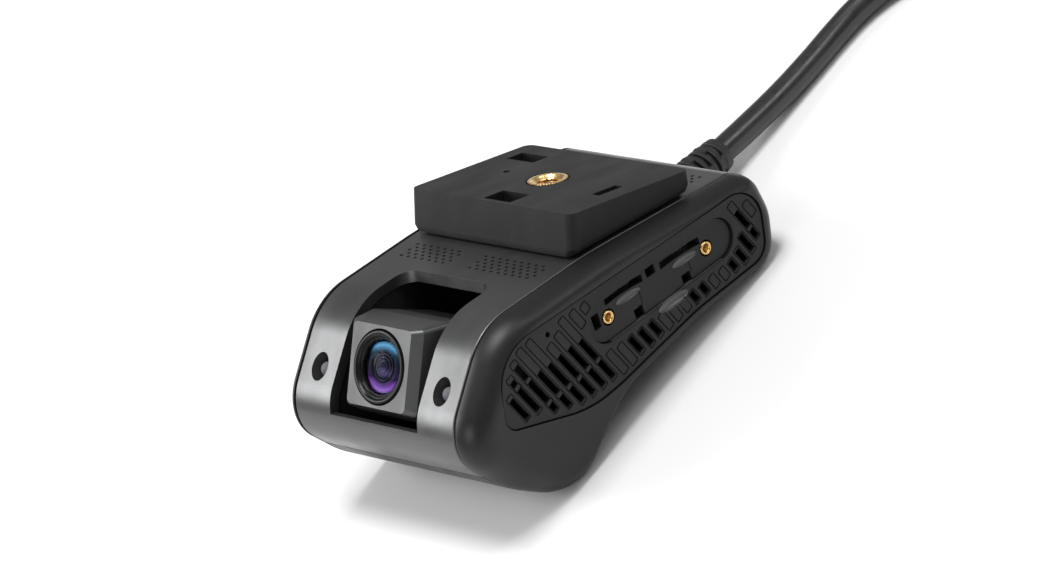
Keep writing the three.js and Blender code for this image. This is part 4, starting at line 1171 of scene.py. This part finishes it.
# ---- plug ----
PLUG = placed(20.2, 211.3, 0, 0)
PLUG_HALF = 7.0
plug = carved(box((-PLUG_HALF, PLUG_HALF), (0, 22), (0, 9)), box((-5.6, 5.6), (8, 23), (1.4, 7.6)),
              *[box((side * PLUG_HALF - 0.35, side * PLUG_HALF + 0.35),
                    (2 + 1.5 * k, 2.8 + 1.5 * k), (1.2, 7.8))
                for side in (-1, 1) for k in range(4)])
plug = softened(plug, 0.3, angle=40)
boot = skin([[(x, y, z) for x, z in block((0, 4.5), width, height, 0, corner, 8)]
             for width, height, corner, y in ((8.2, 7.4, 3.4, 0.05), (10.6, 8, 2.6, 0.6),
                                              (10.6, 8, 2.6, 0.9))])
plug_piece = add("connector_shell", joined(plug, boot), BLACK, PLUG,
                 replaces=["plug_housing"])
lever = carved(*[box((-2.5, 2.5), ys, zs) for ys, zs in
                 (((4.5, 19.5), (9.9, 11.2)), ((10, 12), (9.3, 10)), ((17.5, 19.5), (9.3, 10)))],
               operation="UNION")
lever = carved(lever, *[box((-3, 3), (5.2 + 1.1 * k, 5.7 + 1.1 * k), (10.95, 12))
                        for k in range(4)])
lever_piece = add("connector_lever", softened(lever, 0.2, angle=40), BLACK, PLUG,
                  "plug_latch", ["plug_latch"])

# ---- the CAD nodes that stay ----
KEPT = {
    BLACK: ["module_rear", "reset_switch", "speaker"],
    WELL: ["camera_well", "lens_barrel"],
    STEEL: [*[f"case_screw_{k}" for k in range(1, 5)], *[f"mount_pin_{k}" for k in range(1, 5)],
            "tilt_pin_left", "tilt_pin_right", "microsd_socket", "sim_socket"],
    BRASS: [f"plug_contact_{k}" for k in range(1, 5)],
    ALUMINIUM: ["heat_spreader", "backup_cell"],
    BOARD: ["main_board", "sensor_board", "lte_antenna", "lamp_board_left", "lamp_board_right"],
    CERAMIC: ["gps_antenna"],
    NYLON: ["reset_button", "friction_washer_left", "friction_washer_right"],
}
for finish, names in KEPT.items():
    for name in names:
        for slot in nodes[name].material_slots:
            slot.material = finish
        nodes[name].data.shade_smooth()
        nodes[name].data.set_sharp_from_angle(angle=radians(35))

# ---- floor and light ----
LIT_POINT = Vector((0, 0, 0.02))
floor_mesh = bpy.data.meshes.new("floor")
floor_mesh.from_pydata([(-3, -3, 0), (3, -3, 0), (3, 3, 0), (-3, 3, 0)], [], [(0, 1, 2, 3)])
floor_mesh.materials.append(floor_paper("floor_paper"))
floor = linked("floor", floor_mesh)


def softbox(name, place, size, power):
    """A rectangular area light that faces the object."""
    data = bpy.data.lights.new(name, "AREA")
    data.shape = "RECTANGLE"
    data.size, data.size_y = size
    data.energy = power
    light = linked(name, data)
    light.location = place
    light.rotation_euler = (LIT_POINT - Vector(place)).to_track_quat("-Z", "Y").to_euler()


softbox("key_left", (-0.85, -0.52, 0.62), (0.55, 0.62), 7.5)
softbox("fill_front", (0.25, -1.1, 0.5), (0.6, 0.4), 2.6)
softbox("edge_right", (0.65, 0.85, 0.95), (0.25, 0.7), 3)
softbox("overhead", (0.05, 0.15, 1.6), (0.8, 0.5), 20)
world = bpy.data.worlds.new("studio")
world.use_nodes = True
background = world.node_tree.nodes["Background"].inputs
background["Color"].default_value = (1, 1, 1, 1)
background["Strength"].default_value = 0.3
scene.world = world
scene.view_settings.view_transform = "Standard"
